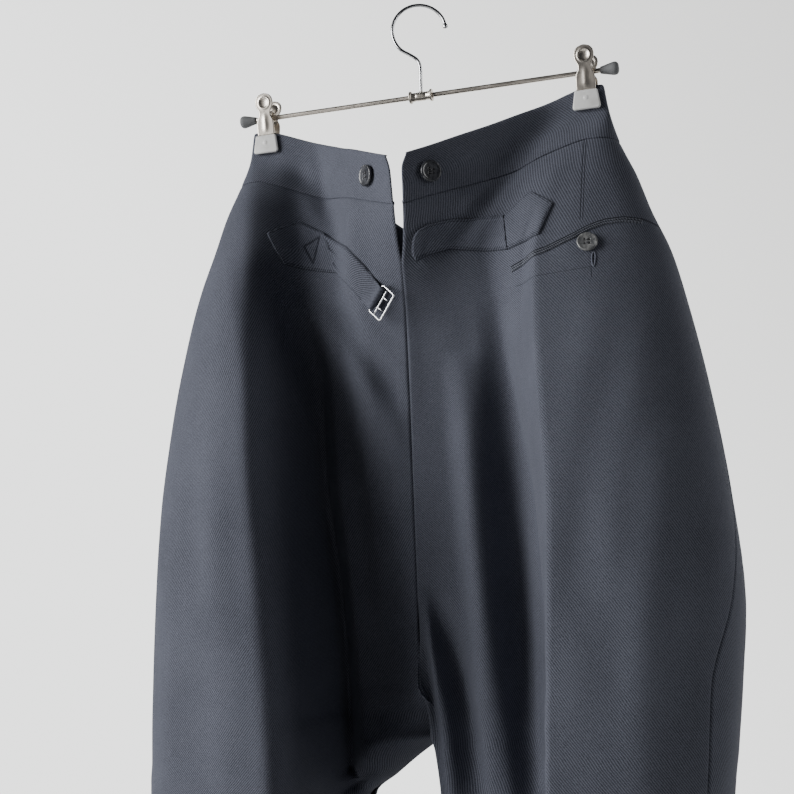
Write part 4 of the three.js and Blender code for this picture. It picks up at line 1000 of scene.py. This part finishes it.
WIRE, HOOK_RADIUS, SWIVEL = 1.5, 23.5, math.radians(180 + 18.4)
BALL_RADIUS, BALL_AT, BALL_HALF = 0.8, 2.1, 2.3
hook_centre = BAR_DROP + WIRE - HOOK_RADIUS
arc = np.radians(np.arange(250, 0, -24.6))
marks = np.concatenate([[(0, 4.1), (0, 14), (0, 26), (-2.4, 33)], np.c_[
    HOOK_RADIUS * np.cos(arc), hook_centre + HOOK_RADIUS * np.sin(arc)]])
padded = np.concatenate([[2 * marks[0] - marks[1]], marks, [2 * marks[-1] - marks[-2]]])
bent = []
for p0, p1, p2, p3 in zip(padded, padded[1:], padded[2:], padded[3:]):
    t = np.linspace(0, 1, 12, endpoint=False)[:, None]
    bent.append(0.5 * (2 * p1 + (p2 - p0) * t + (2 * p0 - 5 * p1 + 4 * p2 - p3) * t**2
                       + (3 * p1 - p0 - 3 * p2 + p3) * t**3))
bent = np.concatenate(bent + [marks[-1:]])
hook_path = np.c_[bent[:, 0] * math.cos(SWIVEL), bent[:, 0] * math.sin(SWIVEL), bent[:, 1]]
last = run_of(bent)[-1] - run_of(bent)
ball = BALL_RADIUS * np.sqrt(np.clip(1 - ((last - BALL_AT) / BALL_HALF) ** 2, 0, 1))
thick = WIRE + np.where(last < 2 * BALL_AT, ball, 0)
thick[-1] = 0.7
tube("hook_wire", hook_path, thick, chrome, "hanger_hook", "root", 24)

# Clips: a coil spring on the bar and two pressed leaves, each with a round dimple and a white
# dipped pad that is riveted on and grips the waistband.
COIL_HALF, COIL_RADIUS, COIL_TURNS = 4.9, 6.2, 7.5
CLIP_OUT, CLIP_FOOT, HEAD_TOP, LEAF_FOOT, LEAF_WALL = 11.2, 5.6, 20.0, -17.0, 1.0
PAD_OUT, PAD_TOP, PAD_FOOT, PAD_WALL, PAD_CORNER = 8.1, -17.4, -34, 3.3, 3.2
DIMPLE_AT, RIVET_AT = 11.5, -24.5
LEAF = np.array([
    (20, 0.3), (19.6, 2.6), (18.8, 4.7), (17.3, 6.6), (15, 8), (12, 8.5), (9, 8.1), (6.8, 7.1),
    (5, 6.1), (3, 5.4), (0, 5.5), (-1.6, 6.3), (-3.4, 7.3), (-6, 8), (-10, 8.1), (-14, 8.1),
    (-16.4, 8), (-17, 7.8)])
vinyl = Finish("white_vinyl")
vinyl_soil = vinyl.noise(vinyl.place(), 70.0, 4.0, 0.6)
vinyl_grain = vinyl.noise(vinyl.place(), 420.0)
white_vinyl = vinyl.surface(
    Base_Color=vinyl.blend(vinyl_soil.smooth(0.4, 0.85), (0.80, 0.80, 0.785), (0.60, 0.59, 0.56)),
    Roughness=vinyl_soil * 0.2 + 0.28, Subsurface_Weight=0.2, Subsurface_Radius=(0.004, 0.004, 0.004),
    Subsurface_Scale=0.5, Normal=vinyl.bump(vinyl_grain, 0.00012))


def plate(name, columns, depth, half_width, heights, wall, clip, facing, finish, node):
    """A pressed plate of a clip: a half width for each height, and a depth at each (across, height)."""
    share = np.linspace(-1, 1, columns)[None]
    half_width, height = half_width[:, None], heights[:, None]
    u = share * half_width
    grid = np.stack(np.broadcast_arrays(clip + u, facing * depth(u, height), height), -1)
    ends = np.minimum(heights.max() - height, height - heights.min()) + 0.05
    rim = np.minimum((1 - np.abs(share)) * half_width, ends)
    round_off = 0.35 * wall * (1 - np.clip(rim / 0.7, 0, 1)) ** 2
    outer, inner = (grid - np.array([0, facing, 0]) * sink[..., None]
                    for sink in (round_off, wall - round_off))
    slab_of(name, outer, inner, None, finish, node)


def leaf_depth(u, z):
    """How far a leaf stands out: it leans in to its foot, with a round dimple and a pressed ridge."""
    lean = CLIP_FOOT + 0.5 + (CLIP_OUT - CLIP_FOOT) * (z - LEAF_FOOT) / (HEAD_TOP - LEAF_FOOT)
    radius = np.hypot(u, z - DIMPLE_AT)
    dimple = -1.1 * np.clip(1 - (radius / 4.4) ** 2, 0, 1) ** 0.8
    rim = 0.35 * np.exp(-((radius - 5.1) / 0.8) ** 2)
    ridge = 0.5 * np.exp(-(u / 2.2) ** 2) * np.clip((3 - z) / 6, 0, 1) * np.clip((z + 15) / 4, 0, 1)
    return lean + (dimple + rim) + ridge


def pad_depth(u, z):
    """How far a pad stands out: its belly, its rivet, and the step where the leaf overlaps it."""
    rivet = 0.5 * np.clip(1 - (np.hypot(u, z - RIVET_AT) / 2.0) ** 2, 0, 1) ** 0.5
    belly = 0.6 * np.cos(np.clip(np.abs(u) / 12, 0, 1) * np.pi / 2) - 0.35
    return PAD_OUT + belly + rivet - 0.25 * np.clip((z + 19) / 1.5, 0, 1)


leaf_heights = np.concatenate([
    np.linspace(HEAD_TOP, HEAD_TOP - 2, 9)[:-1], np.linspace(HEAD_TOP - 2, LEAF_FOOT, 76)])
leaf_width = np.interp(-leaf_heights, -LEAF[:, 0], LEAF[:, 1])
pad_heights = np.linspace(PAD_TOP, PAD_FOOT, 40)
pad_width = 9.5 + 2.5 * (PAD_TOP - pad_heights) / (PAD_TOP - PAD_FOOT)
corner = np.clip(PAD_FOOT + PAD_CORNER - pad_heights, 0, PAD_CORNER) / PAD_CORNER
pad_width -= PAD_CORNER * (1 - np.sqrt(1 - corner ** 2))
pad_width -= 1.2 * np.clip(pad_heights - PAD_TOP + 1, 0, 1) ** 2
for side, sign in (("left", 1), ("right", -1)):
    at = sign * CLIP_X
    turned = np.linspace(0, COIL_TURNS * 2 * np.pi, 260)
    coil = np.c_[at + COIL_HALF * (2 * turned / turned[-1] - 1), COIL_RADIUS * np.cos(turned),
                 COIL_RADIUS * np.sin(turned)]
    tube(f"clip_coil_{side}", coil, 0.6, nickel, f"clip_{side}_spring", "root", 8)
    for place, facing in (("back", 1), ("front", -1)):
        plate(f"clip_leaf_{side}_{place}", 45, leaf_depth, leaf_width, leaf_heights, LEAF_WALL, at,
              facing, nickel, f"clip_{side}_{place}")
        plate(f"clip_pad_{side}_{place}", 41, pad_depth, pad_width, pad_heights, PAD_WALL, at,
              facing, white_vinyl, f"pad_{side}_{place}")

# Stage and light: a pale floor below the hem, a bright wall far behind that dims to the upper
# right, a tall window to the left of the picture and a dim strip of light from the right. Metres.
FLOOR_Z, FLOOR_RADIUS, LIGHT_AWAY = -1.36, 1.7, 2.5
bpy.ops.mesh.primitive_circle_add(
    vertices=96, radius=FLOOR_RADIUS, fill_type="NGON", location=(0, 0, FLOOR_Z))
floor = bpy.context.object
floor.name = "floor"
pale = Finish("pale_floor")
floor.data.materials.append(pale.surface(Base_Color=(0.72, 0.72, 0.71), Roughness=0.7))

aim = Vector((0.05, 0.05, -0.45))
for name, way, size, power in (("window", 56, (1.4, 1.9), 105), ("side_wall", -86, (0.7, 2.2), 20)):
    light = bpy.data.lights.new(name, "AREA")
    light.shape, light.size, light.size_y = "RECTANGLE", *size
    light.energy = power
    lamp = bpy.data.objects.new(name, light)
    bpy.context.scene.collection.objects.link(lamp)
    way = math.radians(way)
    lamp.location = LIGHT_AWAY * math.sin(way), LIGHT_AWAY * math.cos(way), 0.2
    lamp.rotation_mode = "QUATERNION"
    lamp.rotation_quaternion = (aim - lamp.location).to_track_quat("-Z", "Y")

room = Finish("room", "worlds")
bpy.context.scene.world = room.owner
direction = room.add("SeparateXYZ", None, {0: room.add("TexCoord", out="Generated")})
x, y, z = (direction.out(axis) for axis in "XYZ")
to_the_left = room.add("MapRange", None, {0: x - z * 0.6, "From Min": -0.3, "From Max": 0.35})
wall = room.blend(to_the_left, (1.35, 1.35, 1.33), (2.3, 2.32, 2.31))
seen = room.blend(y.smooth(-0.6, -0.74), (0.016, 0.017, 0.02), wall)
room.feed(room.tree.nodes["Background"].inputs["Color"], seen)
